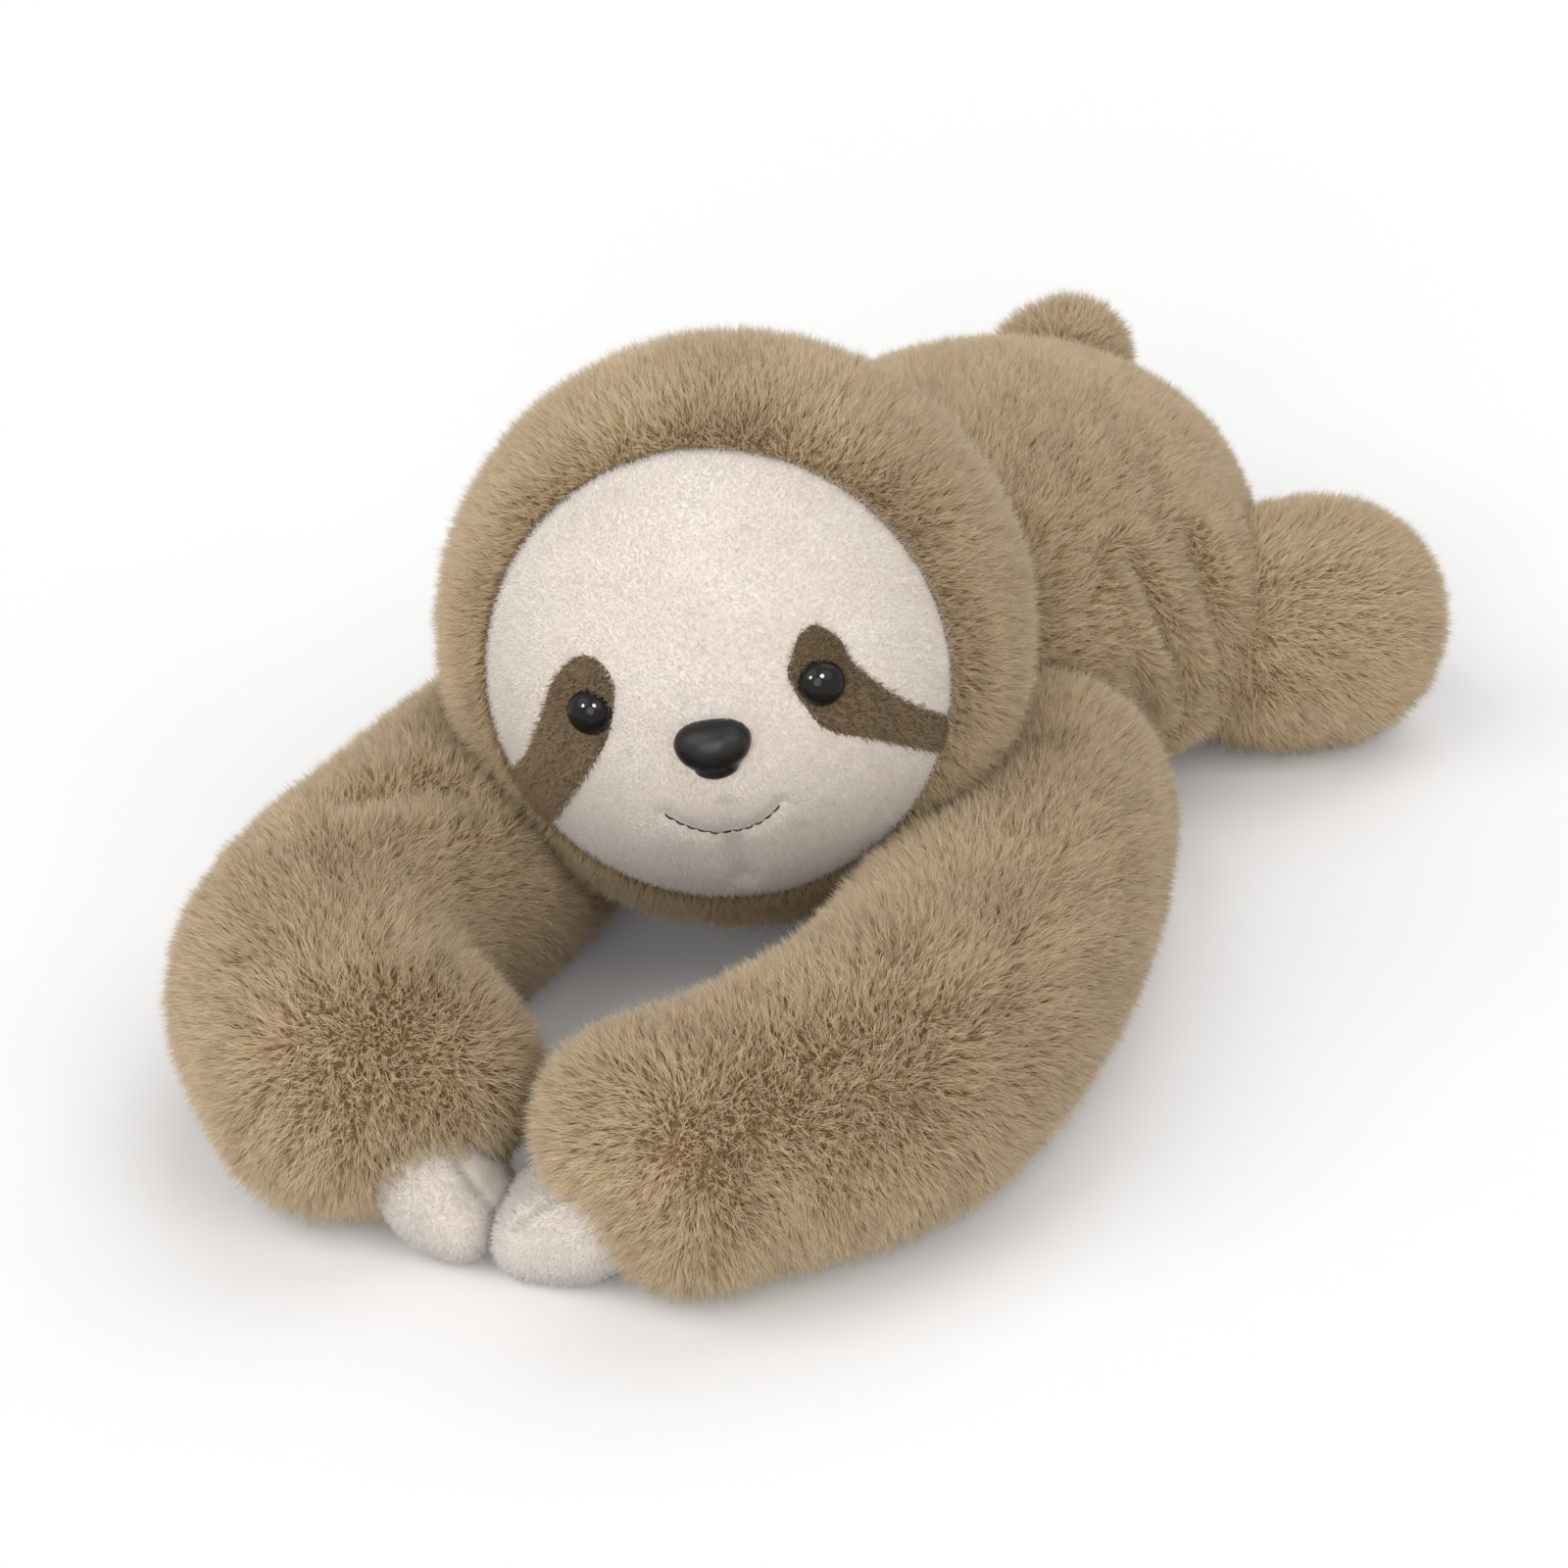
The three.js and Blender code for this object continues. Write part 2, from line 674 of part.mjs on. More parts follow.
// Mouth: one dark thread laid along the smile
const mouthPoints = Array.from({ length: mouthSteps + 1 }, (_, k) => {
  const share = (2 * k) / mouthSteps - 1;
  const z = mouthRise * share ** 2 - mouthDrop;
  const spot = faceSpot((share * mouthWidth) / 2, z, seamGap + threadRadius);
  return new THREE.Vector3().setFromMatrixPosition(spot);
});
const threadSection = new THREE.Shape(
  around(threadSides, (angle) => new THREE.Vector2(threadRadius * Math.cos(angle), threadRadius * Math.sin(angle)))
);
const smile = new THREE.ExtrudeGeometry(threadSection, {
  extrudePath: new THREE.CatmullRomCurve3(mouthPoints),
  steps: threadSteps,
});
add(headFrame, "mouth_stitch", smile, darkThread());

// Limbs: a cover with wadding, and beads behind a straight seam where the limb has them

function addLimb(name, limb, beads) {
  const [limbName, side] = name;
  const packed = solid(limbForm(limb, clothWall + seamGap));
  const label = (piece) => [limbName, piece, side].filter(Boolean).join("_");
  add(sloth, label("cover"), limbCover(limb), fur());
  if (!beads) {
    add(sloth, label("stuffing"), geometryOf(packed), wadding());
    return;
  }
  const outward = beads.towardsEnd;
  const before = beads.from.clone().addScaledVector(outward, -seamGap / 2);
  const after = beads.from.clone().addScaledVector(outward, seamGap / 2);
  add(sloth, label("stuffing"), geometryOf(cut(packed, [halfSpace(before, outward)])), wadding());
  const pouch = cut(packed, [halfSpace(after, outward.clone().negate())]);
  add(sloth, label("bead_pouch"), geometryOf(pouch), cotton());
}

for (const [side, limb, lie] of [["left", leftArm, leftLie], ["right", rightArm, rightLie]]) {
  const along = limbDirection(limb, 1);
  const from = limb.path.at(-1).clone().addScaledVector(along, -armPouchReach);
  addLimb(["arm", side], limb, { from, towardsEnd: along });
  const inner = claw(limb, lie.innerClaw, 0);
  const outer = claw(limb, lie.outerClaw, outerClawSetOut);
  add(sloth, `claw_inner_${side}`, shownClaw(inner, [limb, outer]), creamPile());
  add(sloth, `claw_outer_${side}`, shownClaw(outer, [limb]), creamPile());
}

for (const [side, limb] of [["left", leftLeg], ["right", rightLeg]]) {
  const from = limb.path.at(-1).clone().addScaledVector(limb.outward, -legPouchReach);
  addLimb(["leg", side], limb, { from, towardsEnd: limb.outward });
}

addLimb(["tail"], tail);

export default sloth;
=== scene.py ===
import json
import math

import bmesh
import bpy
import numpy as np
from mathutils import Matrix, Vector
from mathutils.bvhtree import BVHTree


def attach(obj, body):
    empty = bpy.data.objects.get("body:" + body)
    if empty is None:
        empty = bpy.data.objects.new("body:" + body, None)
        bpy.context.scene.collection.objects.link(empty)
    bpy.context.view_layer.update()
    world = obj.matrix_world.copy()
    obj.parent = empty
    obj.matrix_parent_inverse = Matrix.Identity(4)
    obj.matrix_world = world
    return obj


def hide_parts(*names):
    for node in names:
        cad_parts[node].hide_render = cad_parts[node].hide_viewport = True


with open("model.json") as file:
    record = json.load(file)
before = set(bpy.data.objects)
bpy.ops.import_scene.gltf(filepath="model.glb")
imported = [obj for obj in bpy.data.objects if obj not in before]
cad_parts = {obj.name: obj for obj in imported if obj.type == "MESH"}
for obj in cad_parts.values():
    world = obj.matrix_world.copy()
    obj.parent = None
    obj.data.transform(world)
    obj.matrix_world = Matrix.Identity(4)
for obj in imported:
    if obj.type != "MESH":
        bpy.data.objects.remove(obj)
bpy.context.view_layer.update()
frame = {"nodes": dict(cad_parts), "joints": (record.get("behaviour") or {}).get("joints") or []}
scene = bpy.context.scene
scene.view_settings.view_transform = "Standard"
nodes = frame["nodes"]
print("frame loaded,", len(nodes), "solids")


# small helpers

def srgb(r, g, b):
    linear = [(v / 255 / 12.92) if v < 11 else ((v / 255 + 0.055) / 1.055) ** 2.4 for v in (r, g, b)]
    return (*linear, 1.0)


def unit(v):
    return v / np.maximum(np.linalg.norm(v, axis=-1, keepdims=True), 1e-12)


def besides(v):
    # a direction square to each row
    return unit(np.cross(v, np.where(np.abs(v[:, 2:]) < 0.8, (0, 0, 1.0), (1.0, 0, 0))))


def smoothStep(low, high, value):
    share = np.clip((value - low) / (high - low), 0, 1)
    return share * share * (3 - 2 * share)


def meshArrays(mesh):
    co = np.empty(len(mesh.vertices) * 3)
    mesh.vertices.foreach_get("co", co)
    mesh.calc_loop_triangles()
    tris = np.empty(len(mesh.loop_triangles) * 3, int)
    mesh.loop_triangles.foreach_get("vertices", tris)
    return co.reshape(-1, 3), tris.reshape(-1, 3)


def vertexNormals(co, tris):
    a, b, c = (co[tris[:, k]] for k in range(3))
    flat = np.cross(b - a, c - a)
    summed = np.zeros_like(co)
    for k in range(3):
        np.add.at(summed, tris[:, k], flat)
    return unit(summed)


def makeObject(name, co, faces, material):
    faces = np.asarray(faces)
    mesh = bpy.data.meshes.new(name)
    mesh.vertices.add(len(co))
    mesh.vertices.foreach_set("co", np.asarray(co, np.float32).ravel())
    mesh.loops.add(faces.size)
    mesh.loops.foreach_set("vertex_index", faces.astype(np.int32).ravel())
    mesh.polygons.add(len(faces))
    mesh.polygons.foreach_set("loop_start", np.arange(0, faces.size, faces.shape[1], dtype=np.int32))
    mesh.update(calc_edges=True)
    mesh.materials.append(material)
    piece = bpy.data.objects.new(name, mesh)
    scene.collection.objects.link(piece)
    return piece


# shader node helpers and shared effects

def newMaterial(name):
    material = bpy.data.materials.new(name)
    material.use_nodes = True
    return material, material.node_tree.nodes, material.node_tree.links


def newGroup(name, inputs, outputs):
    tree = bpy.data.node_groups.new(name, "ShaderNodeTree")
    for label, kind, value in inputs:
        tree.interface.new_socket(label, in_out="INPUT", socket_type=kind).default_value = value
    for label, kind in outputs:
        tree.interface.new_socket(label, in_out="OUTPUT", socket_type=kind)
    return tree, tree.nodes.new("NodeGroupInput"), tree.nodes.new("NodeGroupOutput")


def mixColor(tree, factor, a, b, blend="MIX"):
    mix = tree.nodes.new("ShaderNodeMix")
    mix.data_type, mix.blend_type = "RGBA", blend
    for socket, value in ((mix.inputs["Factor"], factor), (mix.inputs[6], a), (mix.inputs[7], b)):
        if hasattr(value, "is_output"):
            tree.links.new(value, socket)
        else:
            socket.default_value = value
    return mix.outputs[2]


def mapRange(tree, value, low, high, toLow, toHigh):
    node = tree.nodes.new("ShaderNodeMapRange")
    tree.links.new(value, node.inputs["Value"])
    for label, number in (("From Min", low), ("From Max", high), ("To Min", toLow), ("To Max", toHigh)):
        if hasattr(number, "is_output"):
            tree.links.new(number, node.inputs[label])
        else:
            node.inputs[label].default_value = number
    return node.outputs["Result"]


# the darker colour towards the root is painted shade deep in the pile
fibreBands = {"middle": (0.15, 0.6), "tip": (0.55, 0.95)}  # where a fibre changes colour, from root to tip


def pileColourGroup():
    # colour of one fibre: V runs from root to tip, darker towards the root as painted shade deep in the pile, U
    # is the tone of its tuft
    tree, given, out = newGroup("pileColour", [
        ("Shaded Root", "NodeSocketColor", (0.1, 0.1, 0.1, 1)),
        ("Middle", "NodeSocketColor", (0.3, 0.3, 0.3, 1)),
        ("Tip", "NodeSocketColor", (0.6, 0.6, 0.6, 1)),
        ("Tone Low", "NodeSocketFloat", 0.8),
        ("Tone High", "NodeSocketFloat", 1.2),
    ], [("Color", "NodeSocketColor")])
    uv = tree.nodes.new("ShaderNodeUVMap")
    uv.uv_map = "OFBake"
    split = tree.nodes.new("ShaderNodeSeparateXYZ")
    tree.links.new(uv.outputs["UV"], split.inputs[0])
    lower = mapRange(tree, split.outputs["Y"], *fibreBands["middle"], 0.0, 1.0)
    upper = mapRange(tree, split.outputs["Y"], *fibreBands["tip"], 0.0, 1.0)
    body = mixColor(tree, lower, given.outputs["Shaded Root"], given.outputs["Middle"])
    fibre = mixColor(tree, upper, body, given.outputs["Tip"])
    tone = mapRange(tree, split.outputs["X"], 0.0, 1.0,
                    given.outputs["Tone Low"], given.outputs["Tone High"])
    tree.links.new(mixColor(tree, 1.0, fibre, tone, "MULTIPLY"), out.inputs["Color"])
    return tree


def mottleGroup():
    # soft cloudy change over a cloth, with a fine grain for its height
    tree, given, out = newGroup("mottle", [
        ("Color", "NodeSocketColor", (0.8, 0.8, 0.8, 1)),
        ("Second Color", "NodeSocketColor", (0.7, 0.7, 0.7, 1)),
        ("Cloud Scale", "NodeSocketFloat", 25.0),
        ("Grain Scale", "NodeSocketFloat", 900.0),
    ], [("Color", "NodeSocketColor"), ("Grain", "NodeSocketFloat")])
    place = tree.nodes.new("ShaderNodeTexCoord")
    cloud = tree.nodes.new("ShaderNodeTexNoise")
    grain = tree.nodes.new("ShaderNodeTexNoise")
    for noise, label, detail in ((cloud, "Cloud Scale", 3.0), (grain, "Grain Scale", 4.0)):
        noise.inputs["Detail"].default_value = detail
        tree.links.new(place.outputs["Object"], noise.inputs["Vector"])
        tree.links.new(given.outputs[label], noise.inputs["Scale"])
    spread = mapRange(tree, cloud.outputs["Fac"], 0.3, 0.7, 0.0, 1.0)
    tree.links.new(mixColor(tree, spread, given.outputs["Color"], given.outputs["Second Color"]),
                   out.inputs["Color"])
    tree.links.new(grain.outputs["Fac"], out.inputs["Grain"])
    return tree


pileColour = pileColourGroup()
mottle = mottleGroup()


def addGroup(material, group, values):
    node = material.node_tree.nodes.new("ShaderNodeGroup")
    node.node_tree = group
    for label, value in values.items():
        node.inputs[label].default_value = value
    return node


def pileMaterial(name, look):
    material, shade, links = newMaterial(name)
    bsdf = shade["Principled BSDF"]
    fibre = addGroup(material, pileColour, look["colours"])
    links.new(fibre.outputs["Color"], bsdf.inputs["Base Color"])
    bsdf.inputs["Roughness"].default_value = look["roughness"]
    bsdf.inputs["Specular IOR Level"].default_value = look["specular"]
    bsdf.inputs["Sheen Weight"].default_value = look["sheen"]
    bsdf.inputs["Sheen Roughness"].default_value = 0.5
    bsdf.inputs["Sheen Tint"].default_value = look["sheenTint"]
    return material


def clothMaterial(name, look):
    material, shade, links = newMaterial(name)
    bsdf = shade["Principled BSDF"]
    cloth = addGroup(material, mottle, look["mottle"])
    bump = shade.new("ShaderNodeBump")
    bump.inputs["Strength"].default_value = look["bump"]
    bump.inputs["Distance"].default_value = look["bumpDepth"]
    links.new(cloth.outputs["Color"], bsdf.inputs["Base Color"])
    links.new(cloth.outputs["Grain"], bump.inputs["Height"])
    links.new(bump.outputs["Normal"], bsdf.inputs["Normal"])
    bsdf.inputs["Roughness"].default_value = look["roughness"]
    bsdf.inputs["Specular IOR Level"].default_value = look["specular"]
    bsdf.inputs["Sheen Weight"].default_value = look["sheen"]
    return material


# finishes

# each pile's root colour is darker than its fibre as painted shade deep in the pile
brownFur = pileMaterial("brownFur", {
    "colours": {"Shaded Root": srgb(157, 133, 99), "Middle": srgb(206, 180, 143), "Tip": srgb(237, 216, 183),
                "Tone Low": 0.8, "Tone High": 1.14},
    "roughness": 0.75, "specular": 0.18, "sheen": 0.2, "sheenTint": srgb(220, 200, 170)})
furBacking = clothMaterial("furBacking", {
    "mottle": {"Color": srgb(134, 110, 78), "Second Color": srgb(120, 98, 68)},
    "bump": 0.3, "bumpDepth": 0.001, "roughness": 0.9, "specular": 0.1, "sheen": 0.0})
creamPile = pileMaterial("creamPile", {
    "colours": {"Shaded Root": srgb(230, 218, 207), "Middle": srgb(238, 230, 222), "Tip": srgb(243, 237, 231),
                "Tone Low": 0.88, "Tone High": 1.06},
    "roughness": 0.8, "specular": 0.15, "sheen": 0.1, "sheenTint": srgb(240, 232, 224)})
creamVelvet = clothMaterial("creamVelvet", {
    "mottle": {"Color": srgb(238, 230, 222), "Second Color": srgb(231, 219, 207), "Cloud Scale": 45.0},
    "bump": 0.25, "bumpDepth": 0.0006, "roughness": 0.85, "specular": 0.15, "sheen": 0.15})
patchPile = pileMaterial("patchPile", {
    "colours": {"Shaded Root": srgb(98, 82, 62), "Middle": srgb(142, 121, 96), "Tip": srgb(176, 153, 124),
                "Tone Low": 0.72, "Tone High": 1.2},
    "roughness": 0.75, "specular": 0.2, "sheen": 0.1, "sheenTint": srgb(150, 130, 105)})
patchVelvet = clothMaterial("patchVelvet", {
    "mottle": {"Color": srgb(104, 88, 67), "Second Color": srgb(90, 75, 56), "Cloud Scale": 120.0},
    "bump": 0.4, "bumpDepth": 0.0008, "roughness": 0.9, "specular": 0.1, "sheen": 0.1})
eyeGloss = clothMaterial("eyeGloss", {
    "mottle": {"Color": (0.0035, 0.0032, 0.003, 1), "Second Color": (0.006, 0.0055, 0.005, 1)},
    "bump": 0.01, "bumpDepth": 0.0001, "roughness": 0.05, "specular": 0.14, "sheen": 0.0})
noseSatin = clothMaterial("noseSatin", {
    "mottle": {"Color": (0.006, 0.006, 0.006, 1), "Second Color": (0.010, 0.010, 0.0095, 1),
               "Grain Scale": 2200.0},
    "bump": 0.12, "bumpDepth": 0.0003, "roughness": 0.36, "specular": 0.3, "sheen": 0.0})
mouthThread = clothMaterial("mouthThread", {
    "mottle": {"Color": srgb(36, 28, 24), "Second Color": srgb(22, 18, 15), "Cloud Scale": 700.0},
    "bump": 0.5, "bumpDepth": 0.0002, "roughness": 0.7, "specular": 0.3, "sheen": 0.0})
washerPlastic = clothMaterial("washerPlastic", {
    "mottle": {"Color": srgb(234, 234, 230), "Second Color": srgb(226, 226, 222)},
    "bump": 0.1, "bumpDepth": 0.0002, "roughness": 0.5, "specular": 0.4, "sheen": 0.0})
print("finishes made")


# camera, lamps and floor

view = {"eye": (0.4536, -1.1844, 0.6498), "target": (0.00465, -0.17614, 0.06294), "lens": 84.0}
camera = bpy.data.objects.new("camera", bpy.data.cameras.new("camera"))
camera.data.sensor_width = 36.0
camera.data.lens = view["lens"]
camera.location = view["eye"]
camera.rotation_euler = (Vector(view["target"]) - Vector(view["eye"])).to_track_quat("-Z", "Y").to_euler()
scene.collection.objects.link(camera)
scene.camera = camera

studio = {
    "lamps": {  # direction the light comes from: azimuth, elevation; strength; softness
        "leftLamp": (-40, 45, 1.15, 50),
        "rightLamp": (66, 46, 0.72, 44),
        "frontLamp": (14, 20, 1.4, 34),
        "backLamp": (170, 55, 0.8, 50),
    },
    "sparks": {"rightSpark": (38, 46, 6.0, 18), "leftSpark": (-29, 33, 3.5, 14)},  # shine on the eyes only
    "ambient": 0.32,
    "floor": 0.91,
    "floorGlow": 0.04,
    "floorHalf": 6.0,
}
eyesLit = bpy.data.collections.new("eyesLit")
for name, (azimuth, elevation, strength, softness) in {**studio["lamps"], **studio["sparks"]}.items():
    lamp = bpy.data.objects.new(name, bpy.data.lights.new(name, "SUN"))
    if name in studio["sparks"]:
        lamp.light_linking.receiver_collection = eyesLit
    lamp.data.energy = strength
    lamp.data.angle = math.radians(softness)
    a, e = math.radians(azimuth), math.radians(elevation)
    towards = Vector((math.sin(a) * math.cos(e), -math.cos(a) * math.cos(e), math.sin(e)))
    lamp.rotation_euler = towards.to_track_quat("Z", "Y").to_euler()
    scene.collection.objects.link(lamp)


def whiteRays(tree):
    # one where the camera, a reflection or a see-through surface looks
    path = tree.nodes.new("ShaderNodeLightPath")
    found = path.outputs["Is Camera Ray"]
    for label in ("Is Glossy Ray", "Is Transmission Ray"):
        either = tree.nodes.new("ShaderNodeMath")
        either.operation = "MAXIMUM"
        tree.links.new(found, either.inputs[0])
        tree.links.new(path.outputs[label], either.inputs[1])
        found = either.outputs[0]
    return found


def mixShaders(tree, factor, a, b):
    mix = tree.nodes.new("ShaderNodeMixShader")
    tree.links.new(factor, mix.inputs[0])
    tree.links.new(a, mix.inputs[1])
    tree.links.new(b, mix.inputs[2])
    return mix.outputs[0]


world = bpy.data.worlds.new("studio")
scene.world = world
world.use_nodes = True
room = world.node_tree
ambient = room.nodes["Background"]
ambient.inputs["Color"].default_value = (1.0, 0.99, 0.975, 1)
ambient.inputs["Strength"].default_value = studio["ambient"]
backdrop = room.nodes.new("ShaderNodeBackground")
backdrop.inputs["Color"].default_value = (1, 1, 1, 1)
backdrop.inputs["Strength"].default_value = 1.0
room.links.new(mixShaders(room, whiteRays(room), ambient.outputs[0], backdrop.outputs[0]),
               room.nodes["World Output"].inputs["Surface"])

floorPaint, shade, links = newMaterial("floorPaint")
paper = shade["Principled BSDF"]
paper.inputs["Base Color"].default_value = (studio["floor"],) * 3 + (1,)
paper.inputs["Roughness"].default_value = 1.0
paper.inputs["Specular IOR Level"].default_value = 0.0
glow = shade.new("ShaderNodeEmission")
glow.inputs["Strength"].default_value = 1.0
seen = shade.new("ShaderNodeMath")
seen.operation = "MULTIPLY"
seen.inputs[1].default_value = studio["floorGlow"]
links.new(whiteRays(floorPaint.node_tree), seen.inputs[0])
links.new(mixShaders(floorPaint.node_tree, seen.outputs[0], paper.outputs[0], glow.outputs[0]),
          shade["Material Output"].inputs["Surface"])
half = studio["floorHalf"]
floorCorners = [(-half, -half, 0), (half, -half, 0), (half, half, 0), (-half, half, 0)]
floorSheet = makeObject("floorSheet", floorCorners, [(0, 1, 2, 3)], floorPaint)
print("camera, lamps and floor made")


# skins: the stuffed forms under the pile, drawn tight over the CAD wadding

def solidOf(name):
    return meshArrays(nodes[name].data)


def remeshed(name, co, tris, voxel):
    # one closed skin of even cells over what may be several solids
    rough = makeObject(name + "Rough", co, tris, furBacking)
    remesh = rough.modifiers.new("voxels", "REMESH")
    remesh.mode = "VOXEL"
    remesh.voxel_size = voxel
    depsgraph = bpy.context.evaluated_depsgraph_get()
    mesh = bpy.data.meshes.new_from_object(rough.evaluated_get(depsgraph))
    points, faces = meshArrays(mesh)
    bpy.data.objects.remove(rough)
    bpy.data.meshes.remove(mesh)
    return {"co": points, "tris": faces}


smoothing = (0.5, -0.53)  # each pass draws the form in and lets it out again
searchReach = 0.04
foldShape = {"swellAt": 2.1, "swell": 0.45}


def relaxed(co, tris, passes):
    # evens out the voxel steps without drawing the form in
    pairs = np.concatenate([tris[:, [0, 1]], tris[:, [1, 2]], tris[:, [2, 0]]])
    edges = np.unique(np.sort(pairs, axis=1), axis=0)
    one, two = edges[:, 0], edges[:, 1]
    count = np.bincount(edges.ravel(), minlength=len(co))[:, None]
    for share in smoothing * passes:
        around = np.stack([np.bincount(one, co[two, k], len(co)) + np.bincount(two, co[one, k], len(co))
                           for k in range(3)], axis=1)
        co = co + share * (around / count - co)
    return co


def moved(skin, offset):
    # the skin with each point moved out by its offset along its normal
    normals = vertexNormals(skin["co"], skin["tris"])
    co = skin["co"] + normals * np.broadcast_to(offset, len(normals))[:, None]
    return {"co": co, "tris": skin["tris"], "normals": vertexNormals(co, skin["tris"])}


def tightSkin(name, solids, build):
    begin = np.cumsum([0] + [len(points) for points, _ in solids])
    points = np.concatenate([points for points, _ in solids])
    faces = np.concatenate([faces + start for (_, faces), start in zip(solids, begin)])
    skin = remeshed(name, points, faces, build["voxel"])
    skin["co"] = relaxed(skin["co"], skin["tris"], build["passes"])
    return moved(skin, build["out"])


def closeness(points, names):
    # distance from each point to the nearest of the named solids
    nearest = np.full(len(points), 1.0)
    for name in names:
        co, tris = solidOf(name)
        tree = BVHTree.FromPolygons(co.tolist(), tris.tolist())
        for i, p in enumerate(points):
            found = tree.find_nearest(p, searchReach)
            if found[0] is not None:
                nearest[i] = min(nearest[i], found[3])
    return nearest


def creased(points, folds):
    # soft valleys along the fold lines, with the cloth swelling a little beside them
    lift = np.zeros(len(points))
    for fold in folds:
        far = np.full(len(points), 1.0)
        for begin, end in zip(fold["line"][:-1], fold["line"][1:]):
            begin, end = np.array(begin), np.array(end)
            share = np.clip((points - begin) @ (end - begin) / ((end - begin) @ (end - begin)), 0, 1)
            far = np.minimum(far, np.linalg.norm(points - begin - share[:, None] * (end - begin), axis=1))
        near = far / fold["wide"]
        beside = fold["swell"] * np.exp(-(near - foldShape["swellAt"]) ** 2)
        lift += fold["deep"] * (beside - np.exp(-near ** 2))
    return lift


def fuller(points, bulges):
    # soft swellings: place, how far they spread and how much they stand out
    return sum((height * np.exp(-(((points - np.array(place)) / spread) ** 2).sum(axis=1))
                for place, spread, height in bulges), np.zeros(len(points)))


# pile: fibres as fine three-sided cones in tufts

# the speckle share of the tone is fine waves of painted shade between tufts, and where it is darker the tufts
# are also shorter
fibreMix = {
    "cloud": 0.2, "shadeSpeckle": 0.4, "tuft": 0.26, "fibre": 0.12,  # shares of a fibre's tone
    "shadeSpeckleLength": 0.2, "shorter": 0.3, "toneSpread": 0.02, "along": (0.01, 0.01, 0.99),
}


